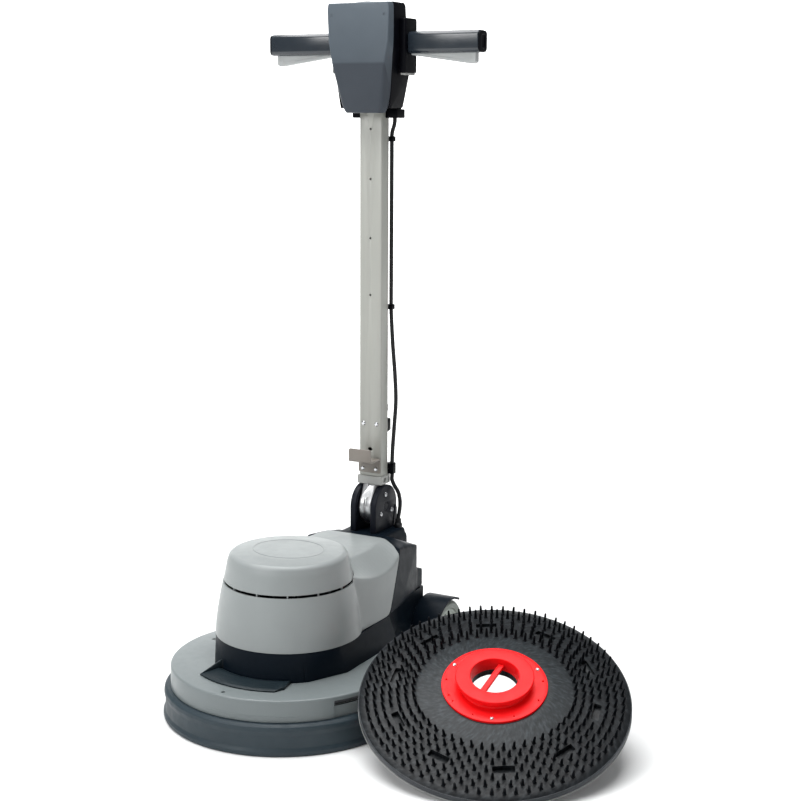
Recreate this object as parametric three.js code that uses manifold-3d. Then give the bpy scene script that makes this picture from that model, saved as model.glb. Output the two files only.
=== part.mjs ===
// Rotary floor machine with its drive board, millimetres, +Z up.
// The drive axis is x = 0, y = 0, the operator stands at +Y and the floor is z = 0.
// The exported group is moved so that its origin is the bottom centre of the whole object.
import * as THREE from "three";
import { ConvexGeometry } from "three/addons/geometries/ConvexGeometry.js";
import { mergeVertices } from "three/addons/utils/BufferGeometryUtils.js";
import Module from "manifold-3d";

const wasm = await Module();
wasm.setup();

// ---- driving dimensions ----
const GAP = 0.3; // between pieces that touch
const RUNNING = 0.1; // between a shaft and its hole
const SKIRT_R = 230;
const DECK_R = 216;
const DECK_TOP = 98;
const DECK_FOOT = 58;
const DECK_WALL = 4;
const BAND_R = 140; // dark band under the cowl, at the deck
const BAND_TOP = 152;
const WING_X = 138; // the band's widest half width
const COWL_R = 137; // cowl's lower edge
const COWL_Y = 9; // the cowl, cap and band sit this far behind the drive axis
const COWL_WALL = 4;
const VENT_R = 121;
const VENT_Z = 249;
const VENT_GAP = 5;
const CAP_R = 114; // shoulder of the cap
const CAP_SHOULDER_Z = 285;
const CAP_ROUND = 22;
const HINGE = { y: 328, z: 321 };
const EAR_R = 44;
const EAR_IN = 16.6;
const EAR_OUT = 29.5;
const PEDESTAL_TOP = 272;
const WHEEL_R = 62;
const WHEEL_WIDTH = 45;
const WHEEL_FACE_X = 150;
const WHEEL_Y = 380;
const AXLE_R = 8;
const TUBE = { width: 50, depth: 30, wall: 2, bottom: 384.3, top: 1180 };
const TUBE_FRONT = 313;
const HEAD = { front: 263, split: 280, rear: 353, top: 1308, bottom: 1112, half: 68 };
const GRIP = { y: 329, z: 1234.6, depth: 34, height: 41, start: 80.3, end: 228 };
const LEVER = { pivot: 88, pivotZ: 1222, tip: 219, thick: 14 };
const GEAR = { module: 1.25, sun: 12, planet: 33, ring: 78, z: 112, face: 14 };
const LEAD_R = 4;
const BOARD = { radius: 238, thick: 12, rise: 30, hole: 41, x: 428.1, y: 0.8, tilt: 21.93, toward: -65.87 };
const BOARD_FLOOR_GAP = 0.4;

const colours = {
  rubber: [0x3d4a50, 0.7, 0],
  light_plastic: [0xa0a5a3, 0.45, 0],
  dark_plastic: [0x2d343a, 0.5, 0],
  head_plastic: [0x5e666d, 0.5, 0],
  black_plastic: [0x20222c, 0.5, 0],
  painted_steel: [0xb5b6b0, 0.4, 0.4],
  polished_alloy: [0xc8c8c8, 0.25, 1],
  steel: [0x9a9a98, 0.35, 1],
  cast_iron: [0x55585a, 0.6, 0.6],
  copper: [0x9a6a4a, 0.5, 0.6],
  tyre_rubber: [0x8a8f8a, 0.8, 0],
  wheel_plastic: [0x8f978f, 0.5, 0],
  red_plastic: [0xf8383a, 0.4, 0],
  board_plastic: [0x3c3e42, 0.5, 0],
  lever_plastic: [0xb4b6b6, 0.45, 0],
  cable: [0x1c1d20, 0.5, 0],
};
const materials = Object.fromEntries(
  Object.entries(colours).map(([name, [color, roughness, metalness]]) => [
    name,
    new THREE.MeshStandardMaterial({ color, roughness, metalness }),
  ]),
);

// ---- solids ----
const rad = THREE.MathUtils.degToRad;
const vec = (x, y, z) => new THREE.Vector3(x, y, z);

// A closed geometry as a solid that can be joined and cut.
function solid(geometry) {
  const bare = geometry.clone();
  for (const name of Object.keys(bare.attributes)) if (name !== "position") bare.deleteAttribute(name);
  const merged = mergeVertices(bare, 1e-4);
  const triVerts = new Uint32Array(merged.index.array);
  const vertProperties = merged.attributes.position.array;
  const made = new wasm.Manifold(new wasm.Mesh({ numProp: 3, vertProperties, triVerts }));
  if (made.volume() > 0) return made;
  for (let i = 0; i < triVerts.length; i += 3) [triVerts[i], triVerts[i + 1]] = [triVerts[i + 1], triVerts[i]];
  return new wasm.Manifold(new wasm.Mesh({ numProp: 3, vertProperties, triVerts }));
}

function geometryOf(shape) {
  const { vertProperties, triVerts } = shape.getMesh();
  const geometry = new THREE.BufferGeometry();
  geometry.setAttribute("position", new THREE.BufferAttribute(new Float32Array(vertProperties), 3));
  geometry.setIndex(new THREE.BufferAttribute(new Uint32Array(triVerts), 1));
  geometry.computeVertexNormals();
  return geometry;
}

// A box between two corners.
function box(x0, x1, y0, y1, z0, z1) {
  const g = new THREE.BoxGeometry(x1 - x0, y1 - y0, z1 - z0);
  return solid(g.translate((x0 + x1) / 2, (y0 + y1) / 2, (z0 + z1) / 2));
}

// A cylinder along x, y or z, from a to b; the centre gives its other two coordinates.
function rod(axis, radius, a, b, centre, segments = 20) {
  const g = new THREE.CylinderGeometry(radius, radius, b - a, segments);
  if (axis === "x") g.rotateZ(-Math.PI / 2).translate((a + b) / 2, centre[0], centre[1]);
  if (axis === "y") g.translate(centre[0], (a + b) / 2, centre[1]);
  if (axis === "z") g.rotateX(Math.PI / 2).translate(centre[0], centre[1], (a + b) / 2);
  return solid(g);
}

// A closed outline of [radius, height] points turned about +Z.
function turned(outline, segments = 56) {
  const points = [...outline, outline[0]].map(([r, z]) => new THREE.Vector2(r, z));
  return solid(new THREE.LatheGeometry(points, segments).rotateX(Math.PI / 2));
}

const hull = (points) => solid(new ConvexGeometry(points.map((p) => vec(...p))));

function shapeOf(points) {
  return new THREE.Shape(points.map(([x, y]) => new THREE.Vector2(x, y)));
}

// An outline in x and y, from z0 to z1.
function plate(points, z0, z1) {
  const g = new THREE.ExtrudeGeometry(shapeOf(points), { depth: z1 - z0, bevelEnabled: false });
  return solid(g.translate(0, 0, z0));
}

// An outline of [y, z] points, from x0 to x1.
function sidePlate(points, x0, x1) {
  const g = new THREE.ExtrudeGeometry(shapeOf(points), { depth: x1 - x0, bevelEnabled: false });
  return solid(g.rotateZ(Math.PI / 2).rotateY(Math.PI / 2).translate(x0, 0, 0));
}

// An outline of [x, z] points, from y0 to y1.
function frontPlate(points, y0, y1) {
  const g = new THREE.ExtrudeGeometry(shapeOf(points), { depth: y1 - y0, bevelEnabled: false });
  return solid(g.rotateX(Math.PI / 2).translate(0, y1, 0));
}

// A round cord along a smooth curve through the points.
function cord(points, radius, steps, sides = 4) {
  const ring = new THREE.Shape();
  ring.absarc(0, 0, radius, 0, 2 * Math.PI);
  const extrudePath = new THREE.CatmullRomCurve3(points.map((p) => vec(...p)));
  const options = { steps, extrudePath, bevelEnabled: false, curveSegments: sides };
  return solid(new THREE.ExtrudeGeometry(ring, options));
}

function arc(radius, from, to, count, centre = [0, 0]) {
  return Array.from({ length: count + 1 }, (_, i) => {
    const t = rad(from + ((to - from) * i) / count);
    return [centre[0] + radius * Math.cos(t), centre[1] + radius * Math.sin(t)];
  });
}

// A rectangle of half widths hx and hy with rounded corners.
function rounded(hx, hy, r, steps = 3) {
  const corners = [[hx, hy, 0], [-hx, hy, 90], [-hx, -hy, 180], [hx, -hy, 270]];
  return corners.flatMap(([x, y, a]) => arc(r, a, a + 90, steps, [x - Math.sign(x) * r, y - Math.sign(y) * r]));
}
const shifted = (points, dx, dy) => points.map(([x, y]) => [x + dx, y + dy]);

const cutFrom = (base, ...tools) => tools.reduce((left, tool) => left.subtract(tool), base);
const joined = (...pieces) => pieces.reduce((sum, piece) => sum.add(piece));
const bothSides = (points) => points.flatMap(([x, y, z]) => [[x, y, z], [-x, y, z]]);

const object = new THREE.Group();
const machine = new THREE.Group();
object.add(machine);

function place(name, shape, material, parent = machine) {
  const mesh = new THREE.Mesh(geometryOf(shape), materials[material]);
  mesh.name = name;
  parent.add(mesh);
  return mesh;
}

// The same piece on the right (+X) and mirrored on the left.
function placePair(name, shape, material) {
  place(name + "_right", shape, material);
  place(name + "_left", shape, material).scale.x = -1;
}

// ---- deck and skirt ----
const skirtOutline = [
  [227, 0], [230, 3], [230, 9], [226.5, 15], [226, 40], [228, 47], [227.2, 53], [222, 57.6],
  [DECK_R - DECK_WALL - 0.4, 57.6], [DECK_R - DECK_WALL - 0.4, 80], [209, 80], [209, 54], [219, 50], [223.2, 44],
  [223.2, 14], [224.5, 0],
];
place("skirt", turned(skirtOutline), "rubber");

const NOTCH = { from: -35, to: -12, top: 88 }; // in the deck's rim, degrees about the drive axis
const notchTool = plate(
  [...arc(DECK_R - 8, NOTCH.from, NOTCH.to, 6), ...arc(DECK_R + 8, NOTCH.to, NOTCH.from, 6)], DECK_FOOT - 2, NOTCH.top,
);
const deckOutline = [
  [DECK_R, DECK_FOOT], [DECK_R - 0.6, 94.5], [DECK_R - 3.5, DECK_TOP], [121, DECK_TOP], [121, DECK_TOP - DECK_WALL],
  [DECK_R - DECK_WALL, DECK_TOP - DECK_WALL], [DECK_R - DECK_WALL, DECK_FOOT],
];
const coverHoles = [[-179, 18], [-4, -200]].map((centre) => rod("z", 3, 90, 100, centre, 10));
place("deck_cover", cutFrom(turned(deckOutline), notchTool, ...coverHoles), "light_plastic");

const BEARING_R = 18;
place("deck_plate", turned([[208.5, 80], [208.5, 86], [26, 86], [26, 80]]), "cast_iron");

// ---- base frame: band, wings and axle housing ----
const AXLE_HALF = 95;
const REAR_Y = 372;
function bandBlock(inset, z0, z1) {
  const low = arc(BAND_R - inset, -137, -43, 14, [0, COWL_Y]).map(([x, y]) => [x, y, z0]);
  const high = arc(COWL_R - 0.6 - inset, -165, -15, 18, [0, COWL_Y]).map(([x, y]) => [x, y, z1]);
  const wings = bothSides([
    [WING_X - inset, -10, z0], [WING_X - inset, 178 - inset, z0],
    [126.5 - inset, 60, z1], [126.5 - inset, 168 - inset, z1],
  ]);
  return hull([...low, ...high, ...wings]);
}
const bandHollow = bandBlock(DECK_WALL, DECK_TOP - 5, BAND_TOP + 5);
const tail = joined(
  hull(bothSides([
    [132, 150, DECK_TOP + GAP], [AXLE_HALF, 262, DECK_TOP + GAP],
    [124, 160, BAND_TOP - GAP], [AXLE_HALF, 262, BAND_TOP - GAP],
  ])),
  box(-AXLE_HALF, AXLE_HALF, 240, REAR_Y, DECK_TOP + GAP, BAND_TOP - GAP),
);
const tailHollow = box(-80, 80, 150, REAR_Y - 12, DECK_TOP - 5, BAND_TOP + 5);
const axleBeam = box(-AXLE_HALF, AXLE_HALF, SKIRT_R + 4, REAR_Y + 24, 46, DECK_TOP + 6);
const axleHole = rod("x", AXLE_R + GAP, -200, 200, [WHEEL_Y, WHEEL_R], 16);
const band = cutFrom(joined(bandBlock(0, DECK_TOP + GAP, BAND_TOP - GAP), tail), bandHollow, tailHollow);
place("base_frame", cutFrom(joined(band, axleBeam), axleHole), "dark_plastic");

// The scoop is a shallow tray on the deck in front of the band, with a fin at its left end.
const SCOOP = { radius: 184.5, inner: BAND_R + 0.6, half: 28.5 };
const trayWedge = turned([
  [SCOOP.inner, DECK_TOP + GAP], [SCOOP.radius, DECK_TOP + GAP], [SCOOP.radius, 100.5], [SCOOP.inner, 106],
], 72);
const trayOutline = [
  ...arc(SCOOP.radius + 4, -90 - SCOOP.half, -90 + SCOOP.half - 5, 10),
  ...arc(SCOOP.radius - 12, -90 + SCOOP.half, -90 + SCOOP.half + 1, 1),
  ...arc(SCOOP.inner - 4, -90 + SCOOP.half + 6, -90 - SCOOP.half, 10),
];
const finLine = [[SCOOP.inner, DECK_TOP + GAP], [SCOOP.radius, DECK_TOP + GAP], [SCOOP.radius, 100], [SCOOP.inner, 121]];
const finAngle = -90 - SCOOP.half;
const [[finX, finY]] = arc(SCOOP.inner - 10, finAngle, finAngle, 1);
const [[tipX, tipY]] = arc(SCOOP.radius + 10, finAngle, finAngle, 1);
const [sideX, sideY] = [Math.cos(rad(finAngle + 90)) * 3, Math.sin(rad(finAngle + 90)) * 3];
const finSlab = plate([[finX, finY], [tipX, tipY], [tipX + sideX, tipY + sideY], [finX + sideX, finY + sideY]], 90, 130);
place("front_scoop", joined(
  trayWedge.intersect(plate(trayOutline, 90, 130)), turned(finLine, 72).intersect(finSlab),
).translate([0, COWL_Y, 0]), "dark_plastic");

// ---- motor cowl with its rear hump ----
const coneRadius = (z) => COWL_R + ((VENT_R - COWL_R) * (z - BAND_TOP)) / (VENT_Z - BAND_TOP);
function cowlBlock(inset, z0, z1) {
  const outline = [[0, z0], [coneRadius(z0) - inset, z0], [coneRadius(z1) - inset, z1], [0, z1]];
  return turned(outline, 72).translate([0, COWL_Y, 0]);
}
// Cross-sections of the hump: y, half widths at the bottom, side edge and top, heights of side edge and top.
const humpSections = [
  { y: 40, foot: 124, side: 112, sideZ: 262, top: 70, topZ: 272 },
  { y: 116, foot: 126, side: 118, sideZ: 239, top: 72, topZ: 273 },
  { y: 160, foot: 126, side: 117, sideZ: 234, top: 74, topZ: 274 },
  { y: 262, foot: 120, side: 107, sideZ: 266, top: 62, topZ: 276 },
];
function humpBlock(inset, drop) {
  const ringAt = ({ y, foot, side, sideZ, top, topZ }) =>
    bothSides([[foot - inset, y, BAND_TOP - drop], [side - inset, y, sideZ - inset], [top - inset, y, topZ - inset]]);
  const slices = humpSections.slice(1).map((section, i) => hull([...ringAt(humpSections[i]), ...ringAt(section)]));
  return joined(...slices);
}
// The hump ends on a plane that leans forward as it goes down.
const REAR_LEAN = 0.66;
const rearPlaneY = (z) => 172 + (z - BAND_TOP) * REAR_LEAN;
function behindPlane(offset) {
  return hull(bothSides([
    [200, rearPlaneY(100) + offset, 100], [200, rearPlaneY(320) + offset, 320], [200, 420, 100], [200, 420, 320],
  ]));
}
const cowlSolid = joined(cowlBlock(0, BAND_TOP, VENT_Z), humpBlock(0, 0));
const cowlHollow = joined(cowlBlock(COWL_WALL, BAND_TOP - 3, VENT_Z + 3), humpBlock(COWL_WALL, 4));
const capClear = turned([
  [0, VENT_Z], [VENT_R + 1.2, VENT_Z], [CAP_R + 1.4, CAP_SHOULDER_Z], [CAP_R + 1.4, 320], [0, 320],
], 72).translate([0, COWL_Y, 0]);
place("motor_cowl", cutFrom(cowlSolid, cowlHollow, behindPlane(0), capClear), "light_plastic");

// The cap stands on short ribs above the vent gap.
const CAP_FOOT = VENT_Z + VENT_GAP;
const capProfile = (inset) => [
  [VENT_R - 0.5 - inset, CAP_FOOT], [CAP_R - inset, CAP_SHOULDER_Z],
  ...[30, 60, 90].map((a) => [
    CAP_R - inset - (CAP_ROUND - inset / 2) * (1 - Math.cos(rad(a))),
    CAP_SHOULDER_Z + (CAP_ROUND - inset) * Math.sin(rad(a)),
  ]),
];
const capWall = turned([...capProfile(0), [0, CAP_SHOULDER_Z + CAP_ROUND + 1.5], [0, CAP_SHOULDER_Z + CAP_ROUND - 3.5],
  ...capProfile(COWL_WALL).reverse()], 56);
const RIB_COUNT = 13;
const capRibs = Array.from({ length: RIB_COUNT }, (_, i) => {
  const angle = rad((360 / RIB_COUNT) * i - 3);
  const [x, y] = [(VENT_R - 3) * Math.cos(angle), (VENT_R - 3) * Math.sin(angle)];
  return solid(new THREE.BoxGeometry(4, 2.4, 8).rotateZ(angle).translate(x, y, VENT_Z + GAP + 4));
});
place("motor_cap", joined(capWall, ...capRibs).translate([0, COWL_Y, 0]), "light_plastic");

// ---- dark rear housing and hinge pedestal ----
const housingBlock = hull(bothSides([
  [124, 174, BAND_TOP], [106, rearPlaneY(262), 263], [60, rearPlaneY(270), 271], [60, 292, 269], [AXLE_HALF, 290, 262],
  [AXLE_HALF, 340, 246], [AXLE_HALF, 340, BAND_TOP], [118, 230, BAND_TOP],
]));
const housingStep = hull(bothSides([[AXLE_HALF, 330, BAND_TOP], [AXLE_HALF, 330, 200], [92, 370, BAND_TOP], [92, 370, 189]]));
const pedestal = hull(bothSides([
  [52, 266, 250], [54, 374, 252], [48, 268, PEDESTAL_TOP], [50, 366, PEDESTAL_TOP], [52, 376, 200], [52, 330, 180],
]));
const inFront = hull(bothSides([
  [200, 100, 100], [200, 100, 330], [200, rearPlaneY(100) + 0.4, 100], [200, rearPlaneY(330) + 0.4, 330],
]));
const housingHollow = box(-86, 86, 150, 330, BAND_TOP - 5, 236);
const housing = cutFrom(joined(housingBlock, housingStep, pedestal), inFront, housingHollow);
place("rear_housing", housing, "dark_plastic");

const GLAND = { x: 41, y: 358, top: 290 };
place("lead_gland", cutFrom(
  joined(rod("z", 9, PEDESTAL_TOP + GAP, 280, [GLAND.x, GLAND.y], 12), rod("z", 6.5, 280, GLAND.top, [GLAND.x, GLAND.y], 12)),
  rod("z", LEAD_R + GAP, 276, 300, [GLAND.x, GLAND.y], 12),
), "cable");

// ---- hinge ----
const TUBE_Y = TUBE_FRONT + TUBE.depth / 2;
const earOutline = [
  [HINGE.y - EAR_R, PEDESTAL_TOP + GAP], [HINGE.y + EAR_R, PEDESTAL_TOP + GAP], ...arc(EAR_R, 0, 180, 20, [HINGE.y, HINGE.z]),
];
const PIN_R = 8;
const earHole = rod("x", PIN_R + RUNNING, 0, 60, [HINGE.y, HINGE.z], 32);
placePair("hinge_ear", cutFrom(sidePlate(earOutline, EAR_IN, EAR_OUT), earHole), "black_plastic");
place("hinge_pin", rod("x", PIN_R, -EAR_OUT - 1, EAR_OUT + 1, [HINGE.y, HINGE.z], 32), "steel");

const DRUM_R = 37;
const BLOCK_BOTTOM = HINGE.z + EAR_R + 2;
const RELEASE = { x: 14, y: 352, radius: 2.5 };
const hingeParts = joined(
  rod("x", DRUM_R, -EAR_IN + 0.6, EAR_IN - 0.6, [HINGE.y, HINGE.z], 36),
  box(-EAR_IN + 0.6, EAR_IN - 0.6, 310, 346, HINGE.z, BLOCK_BOTTOM + 2),
  box(-28, 28, 310, 346, BLOCK_BOTTOM, TUBE.bottom - GAP),
  box(7, 21, 340, 358, BLOCK_BOTTOM, TUBE.bottom - GAP),
  plate(shifted(rounded(TUBE.width / 2 - TUBE.wall - 0.4, TUBE.depth / 2 - TUBE.wall - 0.4, 1.5), 0, TUBE_Y), 380, 424),
);
place("hinge_drum", cutFrom(
  hingeParts,
  rod("x", PIN_R + RUNNING, -60, 60, [HINGE.y, HINGE.z], 32),
  rod("z", RELEASE.radius + GAP, 340, 400, [RELEASE.x, RELEASE.y], 12),
), "polished_alloy");

// ---- handle tube and what is on it ----
const frontHoles = [750, 862, 977, 1073].map((z) => rod("y", 2.2, 300, 320, [0, z], 8));
place("handle_tube", cutFrom(
  plate(shifted(rounded(TUBE.width / 2, TUBE.depth / 2, 3), 0, TUBE_Y), TUBE.bottom, TUBE.top),
  plate(shifted(rounded(TUBE.width / 2 - TUBE.wall, TUBE.depth / 2 - TUBE.wall, 1.5), 0, TUBE_Y), 300, 1300),
  ...frontHoles,
), "painted_steel");

const HOOK = { reach: 42, shelf: 419, lip: 446, plate: 2.6, flange: 391 };
const hookFront = TUBE_FRONT - GAP - HOOK.reach;
place("cable_hook", joined(
  box(-25, 25, TUBE_FRONT - GAP - HOOK.plate, TUBE_FRONT - GAP, HOOK.flange, HOOK.shelf + HOOK.plate),
  box(-25, 25, hookFront, TUBE_FRONT - GAP, HOOK.shelf, HOOK.shelf + HOOK.plate),
  box(-25, 25, hookFront, hookFront + HOOK.plate, HOOK.shelf, HOOK.lip),
), "painted_steel");

const TUBE_REAR = TUBE_FRONT + TUBE.depth + GAP;
const LEAD = { x: 26, y: 351, lowX: 30 };
function leadClip(x, z, half) {
  const body = box(19.5, x + 6.5, TUBE_REAR, LEAD.y + 6.5, z - half, z + half);
  return cutFrom(body, rod("z", LEAD_R + GAP, z - half - 5, z + half + 5, [x, LEAD.y], 12));
}
place("lead_clip_lower", leadClip(LEAD.lowX, 396, 11), "black_plastic");
place("lead_clip_middle", leadClip(LEAD.x, 725, 5), "black_plastic");
place("lead_clip_upper", leadClip(LEAD.x, 1054, 5), "black_plastic");

const leadStart = [LEAD.lowX, LEAD.y, 378];
const leadPoints = [
  leadStart, [LEAD.lowX, LEAD.y, 393], [LEAD.lowX, LEAD.y, 408], [31, 351.5, 440], [34, 353, 490], [36, 354.5, 536],
  [34, 353.5, 590], [30, 352, 645], [LEAD.x + 1, LEAD.y, 700], [LEAD.x, LEAD.y, 725], [LEAD.x, LEAD.y, 750],
  [LEAD.x, LEAD.y, 860], [LEAD.x, LEAD.y, 1025], [LEAD.x, LEAD.y, 1054], [LEAD.x + 0.5, LEAD.y, 1066],
  [31, 352, 1082], [32, 352, 1092], [32, 352, 1109],
];
place("motor_lead", cord(leadPoints, LEAD_R, 48), "cable");
const flexPoints = [
  [GLAND.x, GLAND.y, 277], [GLAND.x, GLAND.y, GLAND.top], [43, 359.5, 306], [44, 360, 325], [41, 357.5, 345],
  [34.5, 353, 359], [LEAD.lowX, LEAD.y, 371], [LEAD.lowX, LEAD.y, 377.6],
];
place("motor_lead_flex", cord(flexPoints, LEAD_R, 18), "cable");

place("release_guide", cutFrom(
  box(8, 22, TUBE_REAR, 359, 470, 500),
  rod("z", RELEASE.radius + GAP, 460, 510, [RELEASE.x, RELEASE.y], 12),
), "black_plastic");
place("release_rod", joined(
  rod("z", RELEASE.radius, 371, 514, [RELEASE.x, RELEASE.y], 12),
  rod("z", 6, 512, 526, [RELEASE.x, RELEASE.y + 1], 12),
), "steel");

// ---- head ----
// The cover's edge runs straight down at the split, then leans back where the head narrows.
const SPLIT_LOW = { bend: 1215, z: 1103, lean: 13 };
const splitY = (z) => HEAD.split + (Math.max(0, SPLIT_LOW.bend - z) * SPLIT_LOW.lean) / (SPLIT_LOW.bend - SPLIT_LOW.z);
const frontFace = [[65.5, HEAD.top - 1], [67.5, HEAD.top - 10], [65, 1240], [57, 1196]];
const frontLow = [[42, 1112], [35, SPLIT_LOW.z]];
const coverRear = [[66, HEAD.top], [68, HEAD.top - 8], [68, SPLIT_LOW.bend], [56.4, 1118], [48, SPLIT_LOW.z]];
const headCover = (inset, behind) => hull([
  ...bothSides(frontFace.map(([x, h]) => [x - inset, HEAD.front + inset, h - (inset && 2)])),
  ...bothSides(frontLow.map(([x, h]) => [x - inset, HEAD.front + 18 + inset, h + inset])),
  ...bothSides(coverRear.map(([x, h]) => [x - inset, splitY(h) + behind, h + (h > 1200 ? -inset : inset)])),
]);
const behindSplit = sidePlate([
  [HEAD.split, 1320], [HEAD.split, SPLIT_LOW.bend], [splitY(SPLIT_LOW.z), SPLIT_LOW.z], [splitY(SPLIT_LOW.z), 1090],
  [330, 1090], [330, 1320],
], -80, 80);
place("head_front_cover", cutFrom(headCover(0, 0), headCover(3, 1), behindSplit), "head_plastic");

const SHELL_HALF = 66.5;
const shellSide = [
  [HEAD.split + GAP, SPLIT_LOW.bend], [splitY(HEAD.bottom) + GAP, HEAD.bottom], [341, HEAD.bottom + 1],
  [HEAD.rear, 1174], [HEAD.rear, 1278], [332, 1281], [330, 1302], [324, HEAD.top], [HEAD.split + GAP, HEAD.top],
];
const shellHollow = [
  [265, HEAD.bottom + 3], [339, HEAD.bottom + 4], [HEAD.rear - 3, 1176], [HEAD.rear - 3, 1275], [329, 1278],
  [327, 1299], [322, HEAD.top - 3], [265, HEAD.top - 3],
];
const shellFace = (inset) => {
  const right = [[SHELL_HALF - inset, 1320], [SHELL_HALF - inset, SPLIT_LOW.bend], [55 - inset, HEAD.bottom - 2]];
  return frontPlate([...right.map(([x, z]) => [-x, z]), ...right.reverse()], 200, 400);
};
const BUTTON = { y: 300, radius: 14 };
const BAR = { y0: 319, y1: 339, z0: 1244, z1: 1252 };
place("head_rear_shell", cutFrom(
  sidePlate(shellSide, -SHELL_HALF, SHELL_HALF).intersect(shellFace(0)),
  sidePlate(shellHollow, -SHELL_HALF, SHELL_HALF).intersect(shellFace(3)),
  box(-25.4, 25.4, TUBE_FRONT - 0.4, TUBE_FRONT + TUBE.depth + 0.4, 1100, 1145),
  box(-90, 90, BAR.y0 - GAP, BAR.y1 + GAP, BAR.z0 - GAP, BAR.z1 + GAP),
  rod("z", BUTTON.radius + GAP, 1280, 1330, [0, BUTTON.y], 24),
), "black_plastic");

place("lock_button", rod("z", BUTTON.radius, 1292, 1311, [0, BUTTON.y], 24), "lever_plastic");

place("head_bracket", cutFrom(
  box(-50, 50, 326, 362, 1094, HEAD.bottom - 1),
  box(-25.3, 25.3, 300, TUBE_REAR, 1080, 1120),
  rod("z", LEAD_R + GAP, 1080, 1120, [32, 352], 12),
), "black_plastic");

place("switch_module", box(-30, 30, 287, 310, 1185, 1238), "black_plastic");
place("handlebar", box(-GRIP.end + 4, GRIP.end - 4, BAR.y0, BAR.y1, BAR.z0, BAR.z1), "steel");

placePair("clamp_block", cutFrom(
  box(SHELL_HALF + GAP, GRIP.start - GAP, 304, 350, 1178, 1280),
  box(60, 90, BAR.y0 - GAP, BAR.y1 + GAP, BAR.z0 - GAP, BAR.z1 + GAP),
), "black_plastic");

// A grip is a box section with rounded edges, open below for its lever.
const gripSection = shifted(rounded(GRIP.depth / 2, GRIP.height / 2, 9), GRIP.y, GRIP.z);
const gripSlot = { y0: GRIP.y - 9, y1: GRIP.y + 9, top: BAR.z0 };
const trunnion = rod("y", 3 + GAP, GRIP.y - 14, GRIP.y + 14, [LEVER.pivot, LEVER.pivotZ], 12);
placePair("grip", cutFrom(
  sidePlate(gripSection, GRIP.start, GRIP.end),
  box(GRIP.start - 5, GRIP.end - 5, gripSlot.y0, gripSlot.y1, 1200, gripSlot.top),
  box(GRIP.start - 5, GRIP.end - 3.7, BAR.y0 - GAP, BAR.y1 + GAP, BAR.z0 - GAP, BAR.z1 + GAP),
  trunnion,
), "black_plastic");
const capSection = shifted(rounded(GRIP.depth / 2 - 1, GRIP.height / 2 - 1, 8), GRIP.y, GRIP.z);
placePair("grip_cap", cutFrom(
  sidePlate(capSection, GRIP.end + GAP, GRIP.end + 3.3),
  box(GRIP.end + 1.6, 260, GRIP.y - 7, GRIP.y + 7, GRIP.z - 10, GRIP.z + 10),
), "black_plastic");

// A lever hangs out of its grip's slot, deeper towards the tip.
const leverOutline = [
  [LEVER.pivot - 5, 1226], [LEVER.pivot - 5, 1211.5], [LEVER.tip - 6, 1193.5], [LEVER.tip, 1197], [LEVER.tip, 1221],
  [LEVER.tip - 10, 1223], [LEVER.pivot + 12, 1227],
];
placePair("lever", joined(
  frontPlate(leverOutline, GRIP.y - LEVER.thick / 2, GRIP.y + LEVER.thick / 2),
  rod("y", 3, GRIP.y - 13, GRIP.y + 13, [LEVER.pivot, LEVER.pivotZ], 12),
), "lever_plastic");

// ---- wheels ----
const axleX = WHEEL_FACE_X + 3;
place("wheel_axle", rod("x", AXLE_R, -axleX, axleX, [WHEEL_Y, WHEEL_R], 32), "steel");
const wheelIn = WHEEL_FACE_X - WHEEL_WIDTH;
const alongX = (shape) => solid(geometryOf(shape).rotateY(Math.PI / 2).translate(0, WHEEL_Y, WHEEL_R));
const rimOutline = [
  [AXLE_R + RUNNING, wheelIn], [46, wheelIn + 4], [46, WHEEL_FACE_X - 4], [30, WHEEL_FACE_X - 2],
  [AXLE_R + RUNNING, WHEEL_FACE_X - 2],
];
const tyreOutline = [
  [46.3, wheelIn + 2], [57, wheelIn], [WHEEL_R, wheelIn + 5], [WHEEL_R, WHEEL_FACE_X - 5], [57, WHEEL_FACE_X],
  [46.3, WHEEL_FACE_X - 2],
];
placePair("wheel_rim", alongX(turned(rimOutline, 32)), "wheel_plastic");
placePair("wheel_tyre", alongX(turned(tyreOutline, 40)), "tyre_rubber");

// Each guard is an arch over its wheel that stands out from the axle housing.
const GUARD_IN = WHEEL_R + 4;
const GUARD_OUT = WHEEL_R + 8;
const guardArch = sidePlate([
  ...arc(GUARD_OUT, 60, 160, 12, [WHEEL_Y, WHEEL_R]), ...arc(GUARD_IN, 160, 60, 12, [WHEEL_Y, WHEEL_R]),
], AXLE_HALF + GAP, WHEEL_FACE_X + 5);
const guardWeb = cutFrom(
  sidePlate([...arc(GUARD_OUT, 60, 160, 12, [WHEEL_Y, WHEEL_R])], AXLE_HALF + GAP, AXLE_HALF + 4),
  rod("x", 12, 80, 120, [WHEEL_Y, WHEEL_R], 16),
);
placePair("wheel_guard", joined(guardArch, guardWeb), "dark_plastic");

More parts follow.
